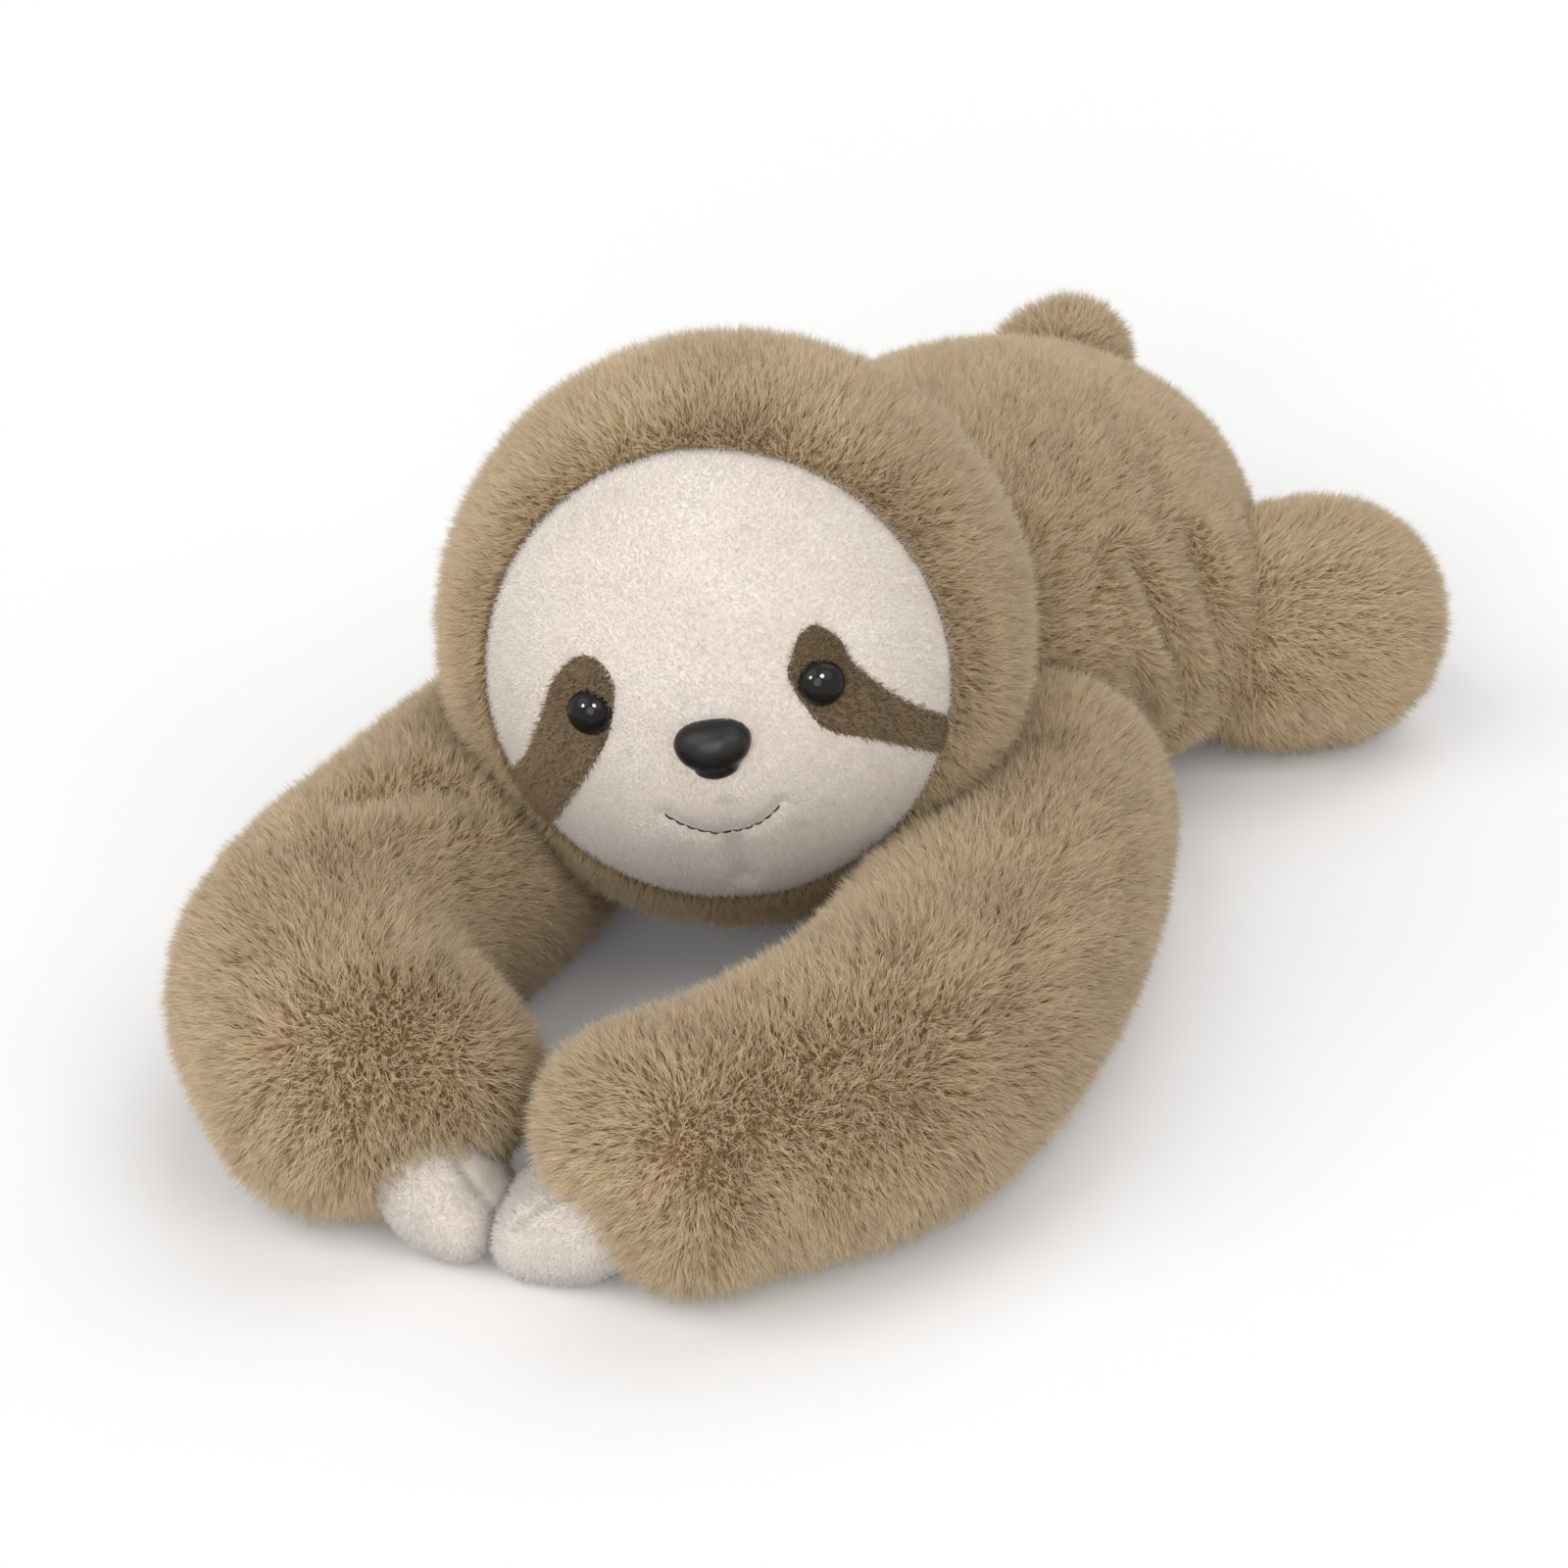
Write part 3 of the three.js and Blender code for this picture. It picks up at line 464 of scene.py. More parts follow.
def growPile(name, skin, pile, body, material, weight=None, reach=None, lean=None):
    co, tris, normals = skin["co"], skin["tris"], skin["normals"]
    count = len(co)
    weight = np.ones(count) if weight is None else weight
    reach = np.ones(count) if reach is None else reach
    lean = np.zeros((count, 3)) if lean is None else lean
    rng = np.random.default_rng(pile["seed"])
    a, b, c = (co[tris[:, k]] for k in range(3))
    area = np.linalg.norm(np.cross(b - a, c - a), axis=1) / 2 * weight[tris].mean(axis=1)
    order = np.argsort(a[:, pile["splitAxis"]], kind="stable")
    running = np.cumsum(area[order])
    tufts = int(running[-1] * 1e4 * pile["tuftsPerCm2"])
    spots = (np.arange(tufts) + rng.random(tufts)) / tufts * running[-1]
    chosen = order[np.minimum(np.searchsorted(running, spots), len(order) - 1)]
    corner = tris[chosen]
    u, v = rng.random(tufts), rng.random(tufts)
    over = u + v > 1
    u[over], v[over] = 1 - u[over], 1 - v[over]
    parts = np.stack([1 - u - v, u, v], axis=1)

    def atTuft(values):
        return np.einsum("nk,nk...->n...", parts, values[corner])

    root, up = atTuft(co), unit(atTuft(normals))
    side = besides(up)
    along = np.cross(up, side)

    def scatter(n, size):
        angle, radius = rng.random(n) * 2 * np.pi, np.sqrt(rng.random(n)) * size
        return np.cos(angle) * radius, np.sin(angle) * radius

    def waves(fineness, count):
        # slow changes over the cloth, from a few sines
        return sum(np.sin(root @ rng.normal(0, fineness, 3) + rng.random() * 6.3) for _ in range(count))

    swayX, swayY = scatter(tufts, pile["sway"])
    drift = np.stack([waves(pile["drift"], 4) for _ in range(3)], axis=1) * pile["driftSize"]
    towards = unit(up + atTuft(lean) + drift + side * swayX[:, None] + along * swayY[:, None])
    length = pile["length"] * atTuft(reach) * (1 + pile["uneven"] * (rng.random(tufts) * 2 - 1))
    cloud = waves(pile["cloud"], 4) / 4
    # fine waves of tone: painted shade between tufts, with the tufts shorter where it is darker
    shadeSpeckle = waves(pile["shadeSpeckle"], 5) / 5
    length = length * (1 + fibreMix["shadeSpeckleLength"] * shadeSpeckle)
    tone = 0.5 + fibreMix["cloud"] * cloud + fibreMix["shadeSpeckle"] * shadeSpeckle
    tone = np.clip(tone + fibreMix["tuft"] * (rng.random(tufts) * 2 - 1), 0.04, 0.96)

    each = pile["fibres"]
    total = tufts * each
    root, up, side, along, towards = (np.repeat(x, each, axis=0) for x in (root, up, side, along, towards))
    length, tone = np.repeat(length, each), np.repeat(tone, each)
    offX, offY = scatter(total, pile["tuftRadius"])
    offset = side * offX[:, None] + along * offY[:, None]
    jitX, jitY = scatter(total, pile["stray"])
    stray = side * jitX[:, None] + along * jitY[:, None]
    length = length * (1 - fibreMix["shorter"] * rng.random(total))
    start = root + offset - up * pile["sink"]
    tip = root + offset * pile["gather"] + stray + towards * length[:, None]
    tip[:, 2] = np.maximum(tip[:, 2], pile["floor"])
    axis = unit(tip - start)
    across = besides(axis)
    other = np.cross(axis, across)
    turn = rng.random(total) * 2 * np.pi
    points = np.empty((total, 4, 3))
    shading = np.empty((total, 4, 3))
    for k in range(3):
        angle = (turn + k * 2 * np.pi / 3)[:, None]
        out = across * np.cos(angle) + other * np.sin(angle)
        points[:, k] = start + out * pile["width"]
        shading[:, k] = unit(up * pile["softness"] + out * (1 - pile["softness"]))
    points[:, 3] = tip
    shading[:, 3] = up
    tone = np.clip(tone + fibreMix["fibre"] * (rng.random(total) * 2 - 1), 0.03, 0.97)

    made = []
    share = np.array_split(np.arange(total), math.ceil(total / pile["mostFibres"]))
    for number, rows in enumerate(share):
        label = name if len(share) == 1 else name + chr(ord("A") + number)
        base = np.arange(len(rows))[:, None, None] * 4
        faces = (base + np.array([[0, 1, 3], [1, 2, 3], [2, 0, 3]])).reshape(-1, 3)
        piece = makeObject(label, points[rows].reshape(-1, 3), faces, material)
        uv = np.empty((len(rows), 3, 3, 2), np.float32)
        apart = fibreMix["toneSpread"] * np.array([[-1, 1, 0], [1, 0, 0], [0, -1, 0]])
        uv[..., 0] = tone[rows, None, None] + apart
        uv[..., 1] = np.array(fibreMix["along"])
        layer = piece.data.uv_layers.new(name="OFBake")
        layer.data.foreach_set("uv", uv.ravel())
        piece.data.normals_split_custom_set_from_vertices(shading[rows].reshape(-1, 3))
        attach(piece, body)
        made.append(piece)
    print(name, "grown,", total, "fibres in", len(made), "pieces")
    return made


furPile = {
    "tuftsPerCm2": 94, "fibres": 3, "length": 0.0086, "uneven": 0.24, "width": 0.00017, "tuftRadius": 0.0006,
    "gather": 0.6, "stray": 0.0012, "sway": 0.46, "drift": 160.0, "driftSize": 0.08, "sink": 0.0006,
    "softness": 0.6, "cloud": 60.0, "shadeSpeckle": 1100.0, "floor": 0.0004, "splitAxis": 1, "mostFibres": 65000,
}
skinBuild = {"voxel": 0.004, "passes": 14, "out": 0.0036}
covers = ["arm_cover_left", "arm_cover_right", "leg_cover_left", "leg_cover_right", "tail_cover"]
# where another part presses, the pile lies flat and the skin comes out to meet it
furRoom = {"pressed": 0.002, "free": 0.008, "least": 0.7, "thin": 0.8, "under": 0.7, "underFrom": (-0.35, -0.8)}
flow = {"along": 0.1, "down": 0.06, "bins": 14}


def furWeights(skin, neighbours, thinned=furRoom["under"]):
    gap = closeness(skin["co"], neighbours)
    free = smoothStep(furRoom["pressed"], furRoom["free"], gap)
    reach = furRoom["least"] + (1 - furRoom["least"]) * free
    under = smoothStep(*furRoom["underFrom"], skin["normals"][:, 2])
    weight = (furRoom["thin"] + (1 - furRoom["thin"]) * free) * (1 - thinned * under)
    return free, weight, reach


def combed(skin, towards):
    # pile lies along the part, from its root to its end, and hangs a little
    y = skin["co"][:, 1]
    edges = np.linspace(y.min(), y.max(), flow["bins"] + 1)
    row = np.clip(np.searchsorted(edges, y) - 1, 0, flow["bins"] - 1)
    middle = np.stack([np.bincount(row, skin["co"][:, k], flow["bins"]) for k in range(3)], axis=1)
    middle /= np.maximum(np.bincount(row, minlength=flow["bins"]), 1)[:, None]
    along = unit(np.gradient(middle, axis=0))
    along *= np.sign(along[:, 1:2]) * towards
    lean = np.stack([np.interp(y, middle[:, 1], along[:, k]) for k in range(3)], axis=1) * flow["along"]
    lean[:, 2] -= flow["down"]
    return lean


def furryPart(skinName, furName, part):
    skin = tightSkin(skinName, [solidOf(node) for node in part["wadding"]], skinBuild)
    free, weight, reach = furWeights(skin, part["neighbours"])
    lift = (1 - free) * part["meet"] + creased(skin["co"], part.get("folds", []))
    skin = moved(skin, lift + fuller(skin["co"], part.get("bulges", [])))
    skin["co"][:, 2] = np.maximum(skin["co"][:, 2], furPile["floor"])
    piece = makeObject(skinName, skin["co"], skin["tris"], furBacking)
    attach(piece, part["body"])
    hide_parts(*part["hidden"], *part["wadding"])
    lean = combed(skin, part["towards"]) + part.get("lean", (0, 0, 0))
    growPile(furName, skin, {**furPile, "seed": part["seed"]}, part["body"], brownFur,
             weight, reach, lean)


flankFolds = [
    {"line": [(83, -57.5, 67.1), (86.5, -46.4, 52.3), (87.7, -30, 34)], "wide": 5.0, "deep": 4.0},
    {"line": [(78, -38, 100), (84, -38, 88), (88.3, -36.1, 73.5), (91.6, -27, 53.8), (91, -20, 38)],
     "wide": 5.0, "deep": 7.5},
    {"line": [(85, -5, 94), (91.5, -8, 77), (94, -7, 57), (94, -8, 40)], "wide": 5.0, "deep": 7.5},
]
rearRoll = [((94, 20, 84), 23, 7.5), ((97, 14, 62), 23, 9.0), ((92, 6, 38), 22, 8.5)]
elbowFold = {
    "line": [(-91.7, -302.5, 91), (-83.1, -289.2, 91), (-75.9, -276.3, 88.8), (-66.4, -267.7, 84.8)],
    "wide": 7.0, "deep": 4.0,
}
pawBulges = {
    "left": [((0.018, -0.374, 0.050), 0.026, 0.011), ((0.112, -0.102, 0.068), 0.035, -0.006)],
    "right": [((-0.013, -0.360, 0.044), 0.028, 0.015), ((-0.042, -0.398, 0.034), 0.020, 0.007)],
}
legLie = {"out": 0.42, "back": 0.2, "tip": (0.170, 0.055, 0.045), "tipSpread": 0.045, "tipHeight": -0.004}
tailBulges = [((-0.010, 0.138, 0.102), 0.04, 0.003), ((-0.030, 0.135, 0.098), 0.014, 0.006)]


def inMetres(fold, sign=1):
    return {"line": [(x * sign / 1000, y / 1000, z / 1000) for x, y, z in fold["line"]],
            "wide": fold["wide"] / 1000, "deep": fold["deep"] / 1000,
            "swell": fold.get("swell", foldShape["swell"])}


furryPart("bodySkin", "bodyFur", {
    "wadding": ["body_stuffing", "body_bead_pouch"], "hidden": ["body_back_panel", "body_belly_panel"],
    "body": "torso", "neighbours": ["head_hood"] + covers, "fill": 0.7, "seed": 11, "towards": 1, "meet": 0.0,
    "folds": [inMetres(fold, sign) for fold in flankFolds for sign in (1, -1)],
    "bulges": [((x * sign / 1000, y / 1000, z / 1000), spread / 1000, height / 1000)
               for (x, y, z), spread, height in rearRoll for sign in (1, -1)]})
for side, seed, sign in (("left", 21, 1), ("right", 31, -1)):
    label = side.capitalize()
    tipX, tipY, tipZ = legLie["tip"]
    furryPart("armSkin" + label, "armFur" + label, {
        "wadding": ["arm_stuffing_" + side, "arm_bead_pouch_" + side], "hidden": ["arm_cover_" + side],
        "body": "arm_" + side, "neighbours": ["head_hood", "body_back_panel", "body_belly_panel"],
        "fill": 0.65, "seed": seed, "towards": -1, "meet": 0.0, "bulges": pawBulges[side],
        "folds": [inMetres(elbowFold)] if side == "right" else []})
    furryPart("legSkin" + label, "legFur" + label, {
        "wadding": ["leg_stuffing_" + side, "leg_bead_pouch_" + side], "hidden": ["leg_cover_" + side],
        "body": "leg_" + side, "neighbours": ["body_back_panel", "body_belly_panel"],
        "fill": 0.7, "seed": seed + 1, "towards": 1, "meet": -0.003,
        "lean": (legLie["out"] * sign, legLie["back"], 0),
        "bulges": [((tipX * sign, tipY, tipZ), legLie["tipSpread"], legLie["tipHeight"])]})
furryPart("tailSkin", "tailFur", {
    "wadding": ["tail_stuffing"], "hidden": ["tail_cover"], "body": "tail", "neighbours": ["body_back_panel"],
    "fill": 0.7, "seed": 41, "towards": 1, "meet": 0.002, "bulges": tailBulges})


# head frame: the tilt joint's place and line, and the eyes for what is level

tilt = next(j for j in frame["joints"] if j["name"] == "head_tilt")
headMiddle = np.array(tilt["pos_m"])
backAxis = unit(np.array(tilt["axis"]))
leftEye, rightEye = (solidOf("eye_" + side)[0].mean(axis=0) for side in ("left", "right"))
acrossAxis = leftEye - rightEye
acrossAxis = unit(acrossAxis - backAxis * (acrossAxis @ backAxis))
upAxis = np.cross(acrossAxis, backAxis)
headTurn = np.stack([acrossAxis, backAxis, upAxis])  # rows: across, towards the neck, up


def toHead(points):
    return (points - headMiddle) @ headTurn.T


def fromHead(points):
    return points @ headTurn + headMiddle


hoodOwn, faceOwn = toHead(solidOf("head_hood")[0]), toHead(solidOf("face_panel")[0])
headRadius = np.hypot(hoodOwn[:, 0], hoodOwn[:, 2]).max()
headFront, headBack = -faceOwn[:, 1].min(), hoodOwn[:, 1].max()
faceRadius = np.hypot(faceOwn[:, 0], faceOwn[:, 2]).max()

# hood: round the back of the head, drawn in to the seam along the face
hood = {
    "inset": 0.0008, "rings": 60, "sectors": 150, "end": 0.004, "rimTuck": 0.02, "rimOver": 0.036,
    "rimLean": -0.5, "rimWide": 0.24, "backLean": 0.14, "rimReach": 0.8, "rimGrow": 0.2,
}


def gridFaces(rings, sectors):
    ring, sector = np.meshgrid(np.arange(rings - 1), np.arange(sectors), indexing="ij")
    here, after = ring * sectors + sector, ring * sectors + (sector + 1) % sectors
    return np.stack([here, after, after + sectors, here + sectors], axis=-1).reshape(-1, 4)


def quadsToTris(quads):
    return np.concatenate([quads[:, [0, 1, 2]], quads[:, [0, 2, 3]]])


rimAngle = math.asin(faceRadius / headRadius)
around = np.arange(hood["sectors"]) * 2 * math.pi / hood["sectors"]
# the hood comes further over the face on its own left
rimStart = rimAngle - hood["rimTuck"] - hood["rimOver"] * np.clip(np.cos(around), 0, 1)
polarGrid = rimStart + (math.pi - hood["end"] - rimStart) * np.linspace(0, 1, hood["rings"])[:, None]
aroundGrid = np.broadcast_to(around, polarGrid.shape)
depth = np.where(polarGrid < math.pi / 2, headFront, headBack) - hood["inset"]
wide = (headRadius - hood["inset"]) * np.sin(polarGrid)
hoodCo = np.stack([wide * np.cos(aroundGrid), -depth * np.cos(polarGrid), wide * np.sin(aroundGrid)], axis=-1)
hoodCo = fromHead(hoodCo.reshape(-1, 3))
hoodQuads = gridFaces(hood["rings"], hood["sectors"])
hoodTris = quadsToTris(hoodQuads)
hoodNormals = vertexNormals(hoodCo, hoodTris)
if ((hoodCo - headMiddle) * hoodNormals).sum(axis=1).mean() < 0:
    hoodQuads, hoodTris, hoodNormals = hoodQuads[:, ::-1], hoodTris[:, ::-1], -hoodNormals
hoodSkin = makeObject("hoodSkin", hoodCo, hoodQuads, furBacking)
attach(hoodSkin, "head")
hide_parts("head_hood", "head_stuffing")
meridian = np.stack([np.cos(polarGrid) * np.cos(aroundGrid), np.sin(polarGrid),
                     np.cos(polarGrid) * np.sin(aroundGrid)], axis=-1).reshape(-1, 3) @ headTurn
fromRim = (polarGrid - rimStart).ravel()
rimShare = 1 - smoothStep(0, hood["rimWide"], fromRim)
hoodLean = meridian * (hood["backLean"] + (hood["rimLean"] - hood["backLean"]) * rimShare)[:, None]
hoodForm = {"co": hoodCo, "tris": hoodTris, "normals": hoodNormals}
_, weight, reach = furWeights(hoodForm, ["body_back_panel", "arm_cover_left", "arm_cover_right"], 0.0)
reach *= hood["rimReach"] + (1 - hood["rimReach"]) * smoothStep(0, hood["rimGrow"], fromRim)
growPile("hoodFur", hoodForm, {**furPile, "seed": 51}, "head", brownFur, weight, reach, hoodLean)

# face: velvet over the wadding, with a soft muzzle, sunk eyes, the mouth's crease and the chin's dart
faceForm = {
    "rings": 120, "sectors": 264, "ringCrowd": 0.9, "leastDepth": 0.02, "base": 0.8,
    "muzzle": (0, -27, 27, 19, 2.2), "cheek": (29, -44, 17, 14, 1.2), "socket": (36.5, 2.5, 12, 12, -1.2),
    "noseSeat": (0, -14, 15, 11, -2.5),
    "mouth": [(-20.6, -34.2), (-16.6, -37.8), (-11.9, -41.0), (-5.6, -43.7), (0.4, -43.9), (5, -42.9),
              (9.4, -41.2), (13.4, -38.5), (17.4, -34.8)],
    "mouthCrease": (3.0, -1.0),
    "dart": [(-1, -49), (-1.2, -54), (-1.8, -65)],
    "dartCrease": (4.0, -2.0),
    "lip": [(-0.3, -31.5), (-0.3, -40)],
    "lipCrease": (2.6, -0.8),
    "rimStart": 0.95, "rimDrop": 3.0, "rimRound": 2.2,
    "mouthBare": (0.5, 1.6), "noseBare": (-11, 11.5, 9),  # where no pile grows
}


def bump(x, z, spot):
    across, up, wide, tall, height = spot
    return height * np.exp(-((x - across) / wide) ** 2 - ((z - up) / tall) ** 2)


def lineDistance(x, z, line):
    best = np.full(np.shape(x), 1e9)
    for (x0, z0), (x1, z1) in zip(line[:-1], line[1:]):
        dx, dz = x1 - x0, z1 - z0
        share = np.clip(((x - x0) * dx + (z - z0) * dz) / (dx * dx + dz * dz), 0, 1)
        best = np.minimum(best, np.hypot(x - x0 - share * dx, z - z0 - share * dz))
    return best


def faceLift(x, z):
    # millimetres that the velvet stands off the CAD face
    f = faceForm
    lift = -f["base"] + bump(x, z, f["muzzle"]) + bump(x, z, f["noseSeat"])
    lift = lift + bump(np.abs(x), z, f["cheek"]) + bump(np.abs(x), z, f["socket"])
    for line, crease in (("mouth", "mouthCrease"), ("dart", "dartCrease"), ("lip", "lipCrease")):
        wide, deep = f[crease]
        lift = lift + deep * np.exp(-(lineDistance(x, z, f[line]) / wide) ** 2)
    rim = np.clip((np.hypot(x, z) / (faceRadius * 1000) - f["rimStart"]) / (1 - f["rimStart"]), 0, 1)
    return lift - f["rimDrop"] * rim ** f["rimRound"]


def facePoints(x, z, lift):
    # x across and z up from the middle of the face, in millimetres
    x, z = x / 1000, z / 1000
    inside = np.maximum(1 - (x * x + z * z) / headRadius ** 2, faceForm["leastDepth"])
    y = -headFront * np.sqrt(inside)
    out = unit(np.stack([x / headRadius ** 2, y / headFront ** 2, z / headRadius ** 2], axis=-1))
    return np.stack([x, y, z], axis=-1) + out * (np.asarray(lift)[..., None] / 1000), out


def discGrid(rings, sectors):
    share = np.linspace(0, 1, rings) ** faceForm["ringCrowd"]
    angle = np.arange(sectors) * 2 * math.pi / sectors
    return np.meshgrid(share, angle, indexing="ij")


def facing(co, quads):
    # turns the quads so that they face out of the head
    tris = quadsToTris(quads)
    normals = vertexNormals(co, tris)
    if (normals * (co - headMiddle)).sum() < 0:
        quads, tris, normals = quads[:, ::-1], tris[:, ::-1], -normals
    return quads, {"co": co, "tris": tris, "normals": normals}


shareGrid, angleGrid = discGrid(faceForm["rings"], faceForm["sectors"])
faceX = (shareGrid * np.cos(angleGrid)).ravel() * faceRadius * 1000
faceZ = (shareGrid * np.sin(angleGrid)).ravel() * faceRadius * 1000
faceCo = fromHead(facePoints(faceX, faceZ, faceLift(faceX, faceZ))[0])
faceQuads, faceSkinForm = facing(faceCo, gridFaces(faceForm["rings"], faceForm["sectors"]))
faceSkin = makeObject("faceSkin", faceCo, faceQuads, creamVelvet)
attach(faceSkin, "head")
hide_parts("face_panel")

# eye patches: short brown pile from above each eye out to the hood
patch = {
    "left": [(38, 20.6), (32.8, 19.8), (28.7, 12.9), (26.8, 7), (30.2, -3.6), (35.8, -13.1), (49.7, -21.2),
             (66, -33.3), (72, -37.8), (76, -27.8), (69.1, -20.6), (58.7, -9.7), (50.3, 1.2), (45.8, 8.5),
             (44.2, 14.3)],
    "right": [(-38.2, 21), (-30.9, 17.3), (-29.1, 8.8), (-34, -5.5), (-40.6, -14.9), (-52.1, -28.2),
              (-68, -43.8), (-75.1, -27.1), (-64.4, -13.6), (-56.1, 0.4), (-48.7, 13.5)],
    "middle": (42, -3), "rings": 26, "steps": 12, "lift": 0.7, "flatTop": 6, "edge": 0.985,
    "bare": (6.4, 7.4),  # round the eye
}


def closedCurve(points, steps):
    points = np.array(points, float)
    out = []
    for k in range(len(points)):
        p0, p1, p2, p3 = (points[(k + j) % len(points)] for j in (-1, 0, 1, 2))
        for s in np.arange(steps) / steps:
            out.append(0.5 * (2 * p1 + (p2 - p0) * s + (2 * p0 - 5 * p1 + 4 * p2 - p3) * s * s
                              + (3 * p1 - p0 - 3 * p2 + p3) * s ** 3))
    return np.array(out)


def insideOutline(x, z, outline):
    inside = np.zeros(np.shape(x), bool)
    for (x0, z0), (x1, z1) in zip(outline, np.roll(outline, -1, axis=0)):
        crosses = (z0 > z) != (z1 > z)
        inside ^= crosses & (x < (x1 - x0) * (z - z0) / (z1 - z0 + 1e-12) + x0)
    return inside


eyeInward = {"left": -2.0, "right": 0.0}  # millimetres across, from the CAD eye
patchOutlines = {side: closedCurve(patch[side], patch["steps"]) for side in ("left", "right")}
facePile = {
    "tuftsPerCm2": 380, "fibres": 1, "length": 0.0022, "uneven": 0.3, "width": 0.00017, "tuftRadius": 0.0004,
    "gather": 0.8, "stray": 0.0003, "sway": 0.6, "drift": 70.0, "driftSize": 0.1, "sink": 0.0003,
    "softness": 0.7, "cloud": 300.0, "shadeSpeckle": 1500.0, "floor": 0.0004, "splitAxis": 2,
    "mostFibres": 65000, "seed": 61,
}
clear = 1.0 - sum(insideOutline(faceX, faceZ, outline) for outline in patchOutlines.values())
clear *= smoothStep(*faceForm["mouthBare"], lineDistance(faceX, faceZ, faceForm["mouth"]))
noseUp, noseWide, noseTall = faceForm["noseBare"]
clear *= (((faceX / noseWide) ** 2 + ((faceZ - noseUp) / noseTall) ** 2) > 1)
growPile("facePile", faceSkinForm, facePile, "head", creamPile, weight=clear)
patchFur = {**facePile, "tuftsPerCm2": 320, "fibres": 2, "length": 0.0030, "sway": 0.65,
            "tuftRadius": 0.0006, "softness": 0.65}
for sign, side in ((1, "left"), (-1, "right")):
    label = side.capitalize()
    share = np.linspace(0, 1, patch["rings"])[:, None, None]
    outline = patchOutlines[side]
    flat = np.array(patch["middle"]) * (sign, 1) * (1 - share) + outline * share
    x, z = flat[..., 0].ravel(), flat[..., 1].ravel()
    far = np.hypot(x, z) / (faceRadius * 1000 * patch["edge"])
    x, z = x / np.maximum(far, 1), z / np.maximum(far, 1)
    raised = patch["lift"] * (1 - np.repeat(share.ravel(), len(outline)) ** patch["flatTop"])
    co = fromHead(facePoints(x, z, faceLift(x, z) + raised)[0])
    quads, form = facing(co, gridFaces(patch["rings"], len(outline)))
    skin = makeObject("patchSkin" + label, co, quads, patchVelvet)
    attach(skin, "head")
    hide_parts("eye_patch_" + side)
    eyeOwn = toHead(solidOf("eye_" + side)[0]) * 1000
    eyeX, eyeZ = eyeOwn[:, 0].mean() + eyeInward[side], eyeOwn[:, 2].mean()
    bare = smoothStep(*patch["bare"], np.hypot(x - eyeX, z - eyeZ))
    growPile("patchPile" + label, form, {**patchFur, "seed": 71 + sign}, "head", patchPile,
             weight=bare)

# eyes: smooth black domes, seated in the patches
# the domes are a little wider than the CAD eyes: their black edge is partly the eye's black base and partly
# painted shade round the eye
eye = {
    "radius": 7.5, "dome": 6.2, "skirt": 3.0, "sunk": 1.8, "front": 12, "tip": 0.003,
    "rings": 28, "sectors": 64,
}
for side in ("left", "right"):
    own = toHead(solidOf("eye_" + side)[0]) * 1000
    near = own[own[:, 1] < own[:, 1].min() + eye["front"]]
    x, z = near[:, 0].mean() + eyeInward[side], near[:, 2].mean()
    spot, out = facePoints(np.array(x), np.array(z), np.array(0.0))
    top = ((own / 1000 - spot) @ out).max()
    level = top - (eye["dome"] + eye["sunk"]) / 1000
    sideways = unit(np.cross(out, (0, 0, 1.0)))
    upward = np.cross(sideways, out)
    turn = np.linspace(eye["tip"], math.pi / 2, eye["rings"])
    profile = [(eye["radius"] * math.sin(t), eye["dome"] * math.cos(t)) for t in turn]
    profile.append((eye["radius"], -eye["skirt"]))
    angle = np.arange(eye["sectors"]) * 2 * math.pi / eye["sectors"]
    rings = [spot + out * (level + h / 1000)
             + (np.cos(angle)[:, None] * sideways + np.sin(angle)[:, None] * upward) * r / 1000
             for r, h in profile]
    co = fromHead(np.concatenate(rings))
    quads, _ = facing(co, gridFaces(len(rings), eye["sectors"]))
    dome = makeObject("eyeDome" + side.capitalize(), co, quads, eyeGloss)
    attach(dome, "head")
    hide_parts("eye_" + side)
    eyesLit.objects.link(dome)

# nose: a wide upper lobe and a small lower one, moulded in one
nose = {
    "outline": [(0, -2.6), (7, -3.4), (11, -6.2), (12.2, -10), (10.7, -14.2), (7.6, -17.4), (5.6, -20.2),
                (0, -21.8), (-5.6, -20.2), (-7.6, -17.4), (-10.7, -14.2), (-12.2, -10),
                (-11, -6.2), (-7, -3.4)],
    "middle": (0, -11.5), "rings": 30, "steps": 8, "height": 9.0, "base": -3.0, "round": 2.3,
    "waist": (-17.2, 2.0, -0.8), "waistFade": 4, "tip": 0.01,
}
noseOutline = closedCurve(nose["outline"], nose["steps"])
share = np.sin(np.linspace(nose["tip"], math.pi / 2, nose["rings"]))[:, None, None]
flat = np.array(nose["middle"]) * (1 - share) + noseOutline * share
x, z = flat[..., 0].ravel(), flat[..., 1].ravel()
share = np.repeat(share.ravel(), len(noseOutline))
waistUp, waistTall, waistDeep = nose["waist"]
lift = nose["height"] * np.sqrt(1 - share ** nose["round"])
lift += waistDeep * np.exp(-((z - waistUp) / waistTall) ** 2) * (1 - share ** nose["waistFade"])
lift = np.append(lift, np.full(len(noseOutline), nose["base"]))
x, z = np.append(x, noseOutline[:, 0]), np.append(z, noseOutline[:, 1])
noseCo = fromHead(facePoints(x, z, lift)[0])
noseQuads, _ = facing(noseCo, gridFaces(nose["rings"] + 1, len(noseOutline)))
noseLobes = makeObject("noseLobes", noseCo, noseQuads, noseSatin)
noseLobes.data.shade_smooth()
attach(noseLobes, "head")
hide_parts("nose")

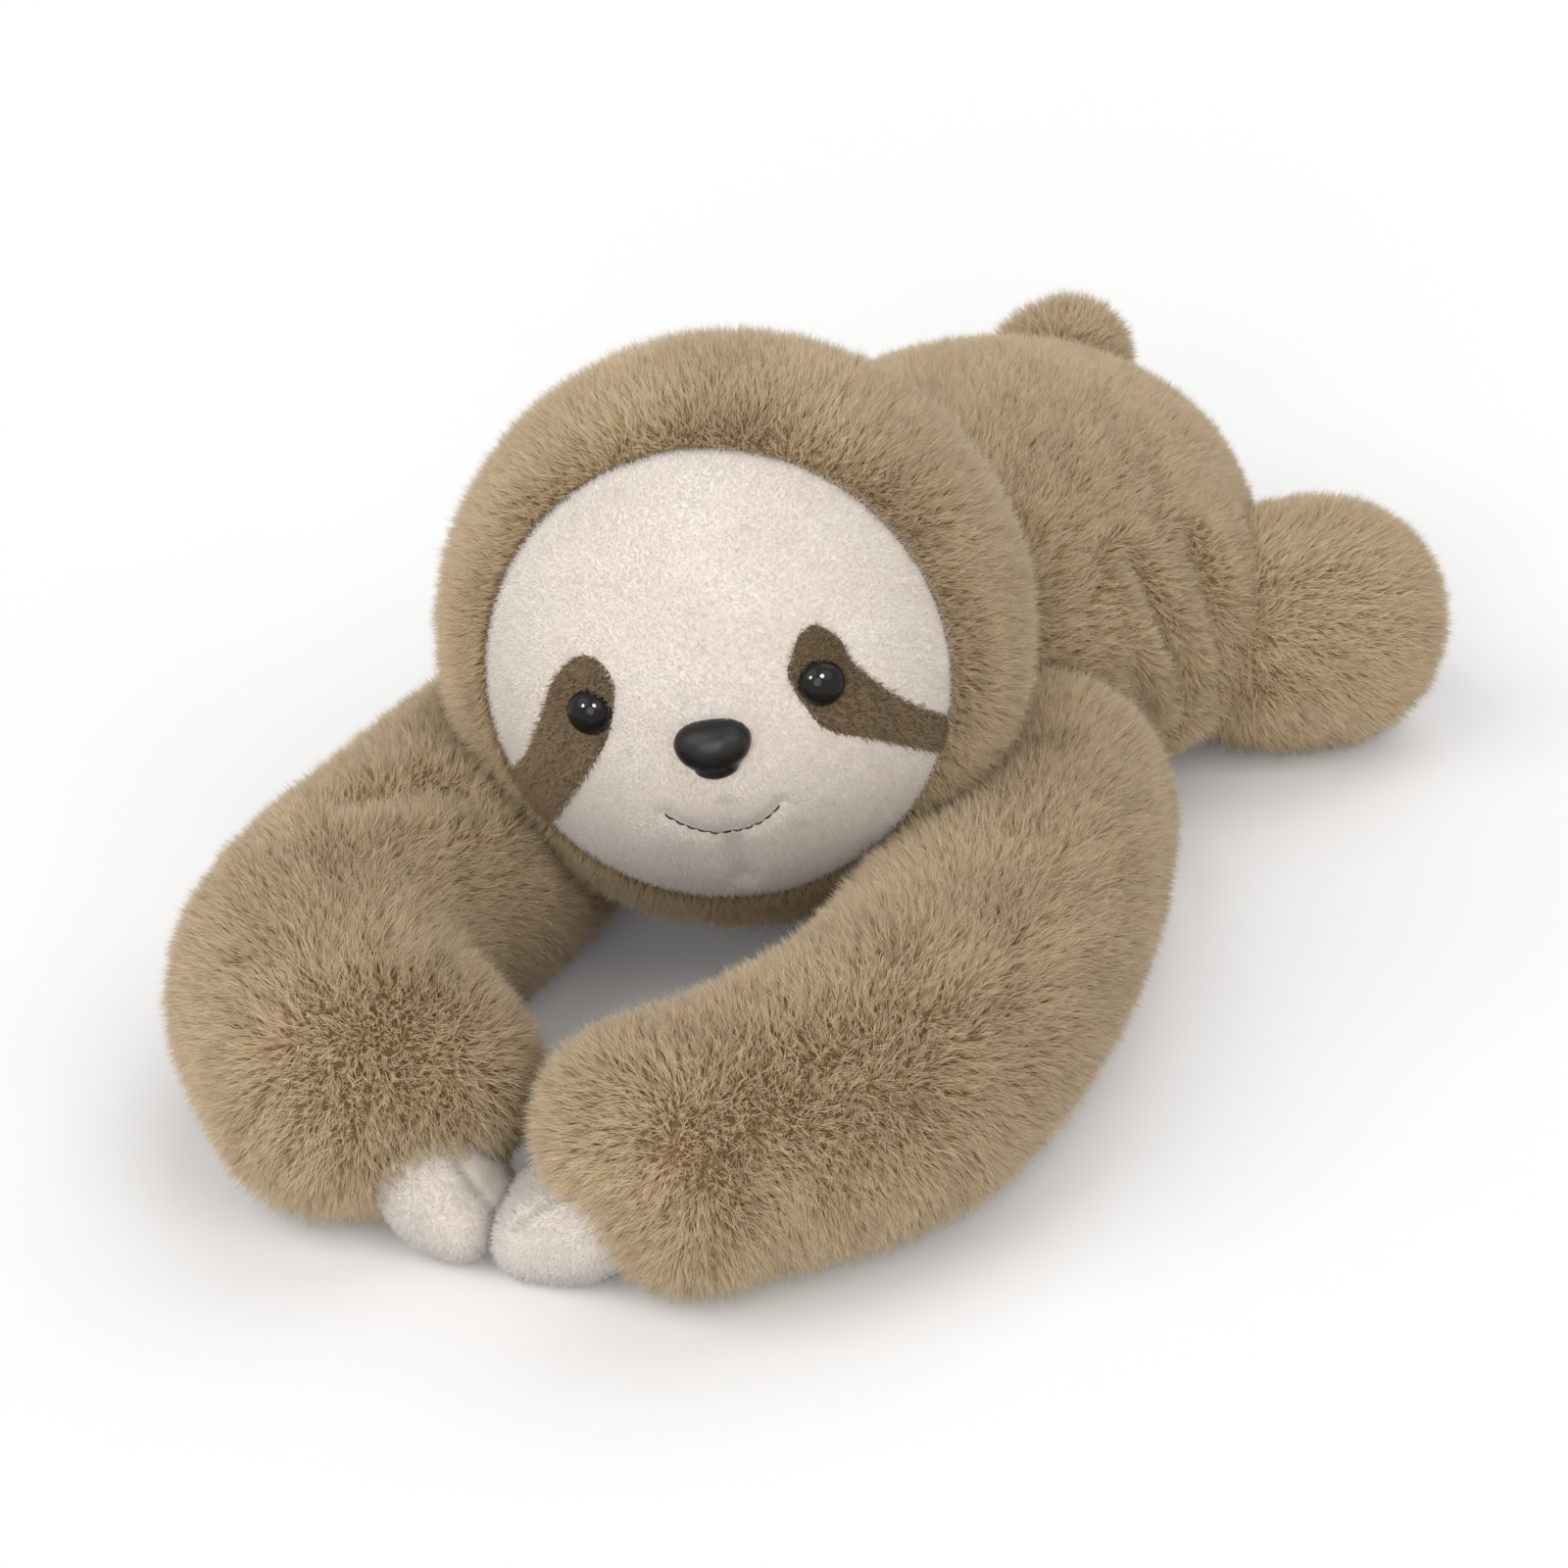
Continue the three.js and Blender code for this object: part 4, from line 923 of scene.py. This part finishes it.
# mouth: short stitches of dark thread along the smile
stitch = {
    "length": 3.6, "gap": 0.25, "radius": 0.32, "sunk": -0.3, "bow": 0.5,
    "thinEnds": 0.45, "plump": 0.55, "taper": 0.4, "steps": 9, "sides": 8,
}
smile = np.array(faceForm["mouth"])
runs = np.concatenate([[0], np.cumsum(np.hypot(*np.diff(smile, axis=0).T))])
threadCo, threadFaces = [], []
begin = 0.0
while begin + stitch["length"] < runs[-1]:
    along = begin + stitch["length"] * np.linspace(0, 1, stitch["steps"])
    x, z = np.interp(along, runs, smile[:, 0]), np.interp(along, runs, smile[:, 1])
    bow = np.sin(np.linspace(0, math.pi, stitch["steps"]))
    centre, out = facePoints(x, z, faceLift(x, z) - stitch["sunk"] + stitch["bow"] * bow)
    ahead = unit(np.gradient(centre, axis=0))
    sideways = unit(np.cross(ahead, out))
    thick = stitch["radius"] / 1000 * (stitch["thinEnds"] + stitch["plump"] * bow ** stitch["taper"])
    angle = np.arange(stitch["sides"]) * 2 * math.pi / stitch["sides"]
    ring = np.cos(angle)[None, :, None] * sideways[:, None] + np.sin(angle)[None, :, None] * out[:, None]
    tube = centre[:, None] + ring * thick[:, None, None]
    threadFaces.append(gridFaces(stitch["steps"], stitch["sides"]) + sum(len(t) for t in threadCo))
    threadCo.append(fromHead(tube.reshape(-1, 3)))
    begin += stitch["length"] + stitch["gap"]
mouthStitch = makeObject("mouthStitch", np.concatenate(threadCo), np.concatenate(threadFaces), mouthThread)
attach(mouthStitch, "head")
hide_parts("mouth_stitch")

# claws: two stuffed cream lobes at each paw, sewn side by side into one mitt with a crease
clawBuild = {"voxel": 0.0018, "passes": 24, "out": 0.0006}
mitt = {
    "left": {"inner": ((-2, -12, 4), 1.0), "outer": ((-4, 0, 0), 1.0),
             "crease": [(13.1, -391.6, 19.8), (17.9, -389.2, 24.6), (23, -388, 28.5), (29.3, -387.2, 32.9)]},
    "right": {"inner": ((-2, -10, 3), 1.05), "outer": ((4, 3, 0), 0.88),
              "crease": [(-17.8, -381.7, 38), (-11.4, -383.5, 31.3), (-5.1, -384.7, 24.6),
                         (1.2, -384.5, 15.9)]},
    "seam": {"wide": 1.5, "deep": 1.8, "swell": 0.0},
}


def hullOf(points):
    shell = bmesh.new()
    for point in points:
        shell.verts.new(point)
    bmesh.ops.convex_hull(shell, input=shell.verts)
    bmesh.ops.delete(shell, geom=[v for v in shell.verts if not v.link_faces], context="VERTS")
    mesh = bpy.data.meshes.new("hull")
    shell.to_mesh(mesh)
    shell.free()
    arrays = meshArrays(mesh)
    bpy.data.meshes.remove(mesh)
    return arrays


clawPile = {**facePile, "tuftsPerCm2": 420, "length": 0.0032, "sway": 0.7, "seed": 81}
for side in ("left", "right"):
    label = side.capitalize()
    claws = ["claw_inner_" + side, "claw_outer_" + side]
    lobes = []
    for node, place in zip(claws, ("inner", "outer")):
        co = solidOf(node)[0]
        shift, size = mitt[side][place]
        lobes.append((co - co.mean(axis=0)) * size + co.mean(axis=0) + np.array(shift) / 1000)
    form = tightSkin("mittSkin" + label, [hullOf(np.concatenate(lobes))], clawBuild)
    seam = inMetres({"line": mitt[side]["crease"], **mitt["seam"]})
    form = moved(form, creased(form["co"], [seam]))
    form["co"][:, 2] = np.maximum(form["co"][:, 2], furPile["floor"])
    skin = makeObject("mittSkin" + label, form["co"], form["tris"], creamVelvet)
    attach(skin, "arm_" + side)
    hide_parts(*claws)
    growPile("mittPile" + label, form, clawPile, "arm_" + side, creamPile)

# washers behind the eyes and nose keep their solids
for name in ("eye_washer_left", "eye_washer_right", "nose_washer"):
    for slotRow in nodes[name].material_slots:
        slotRow.material = washerPlastic
print("face and claws made")
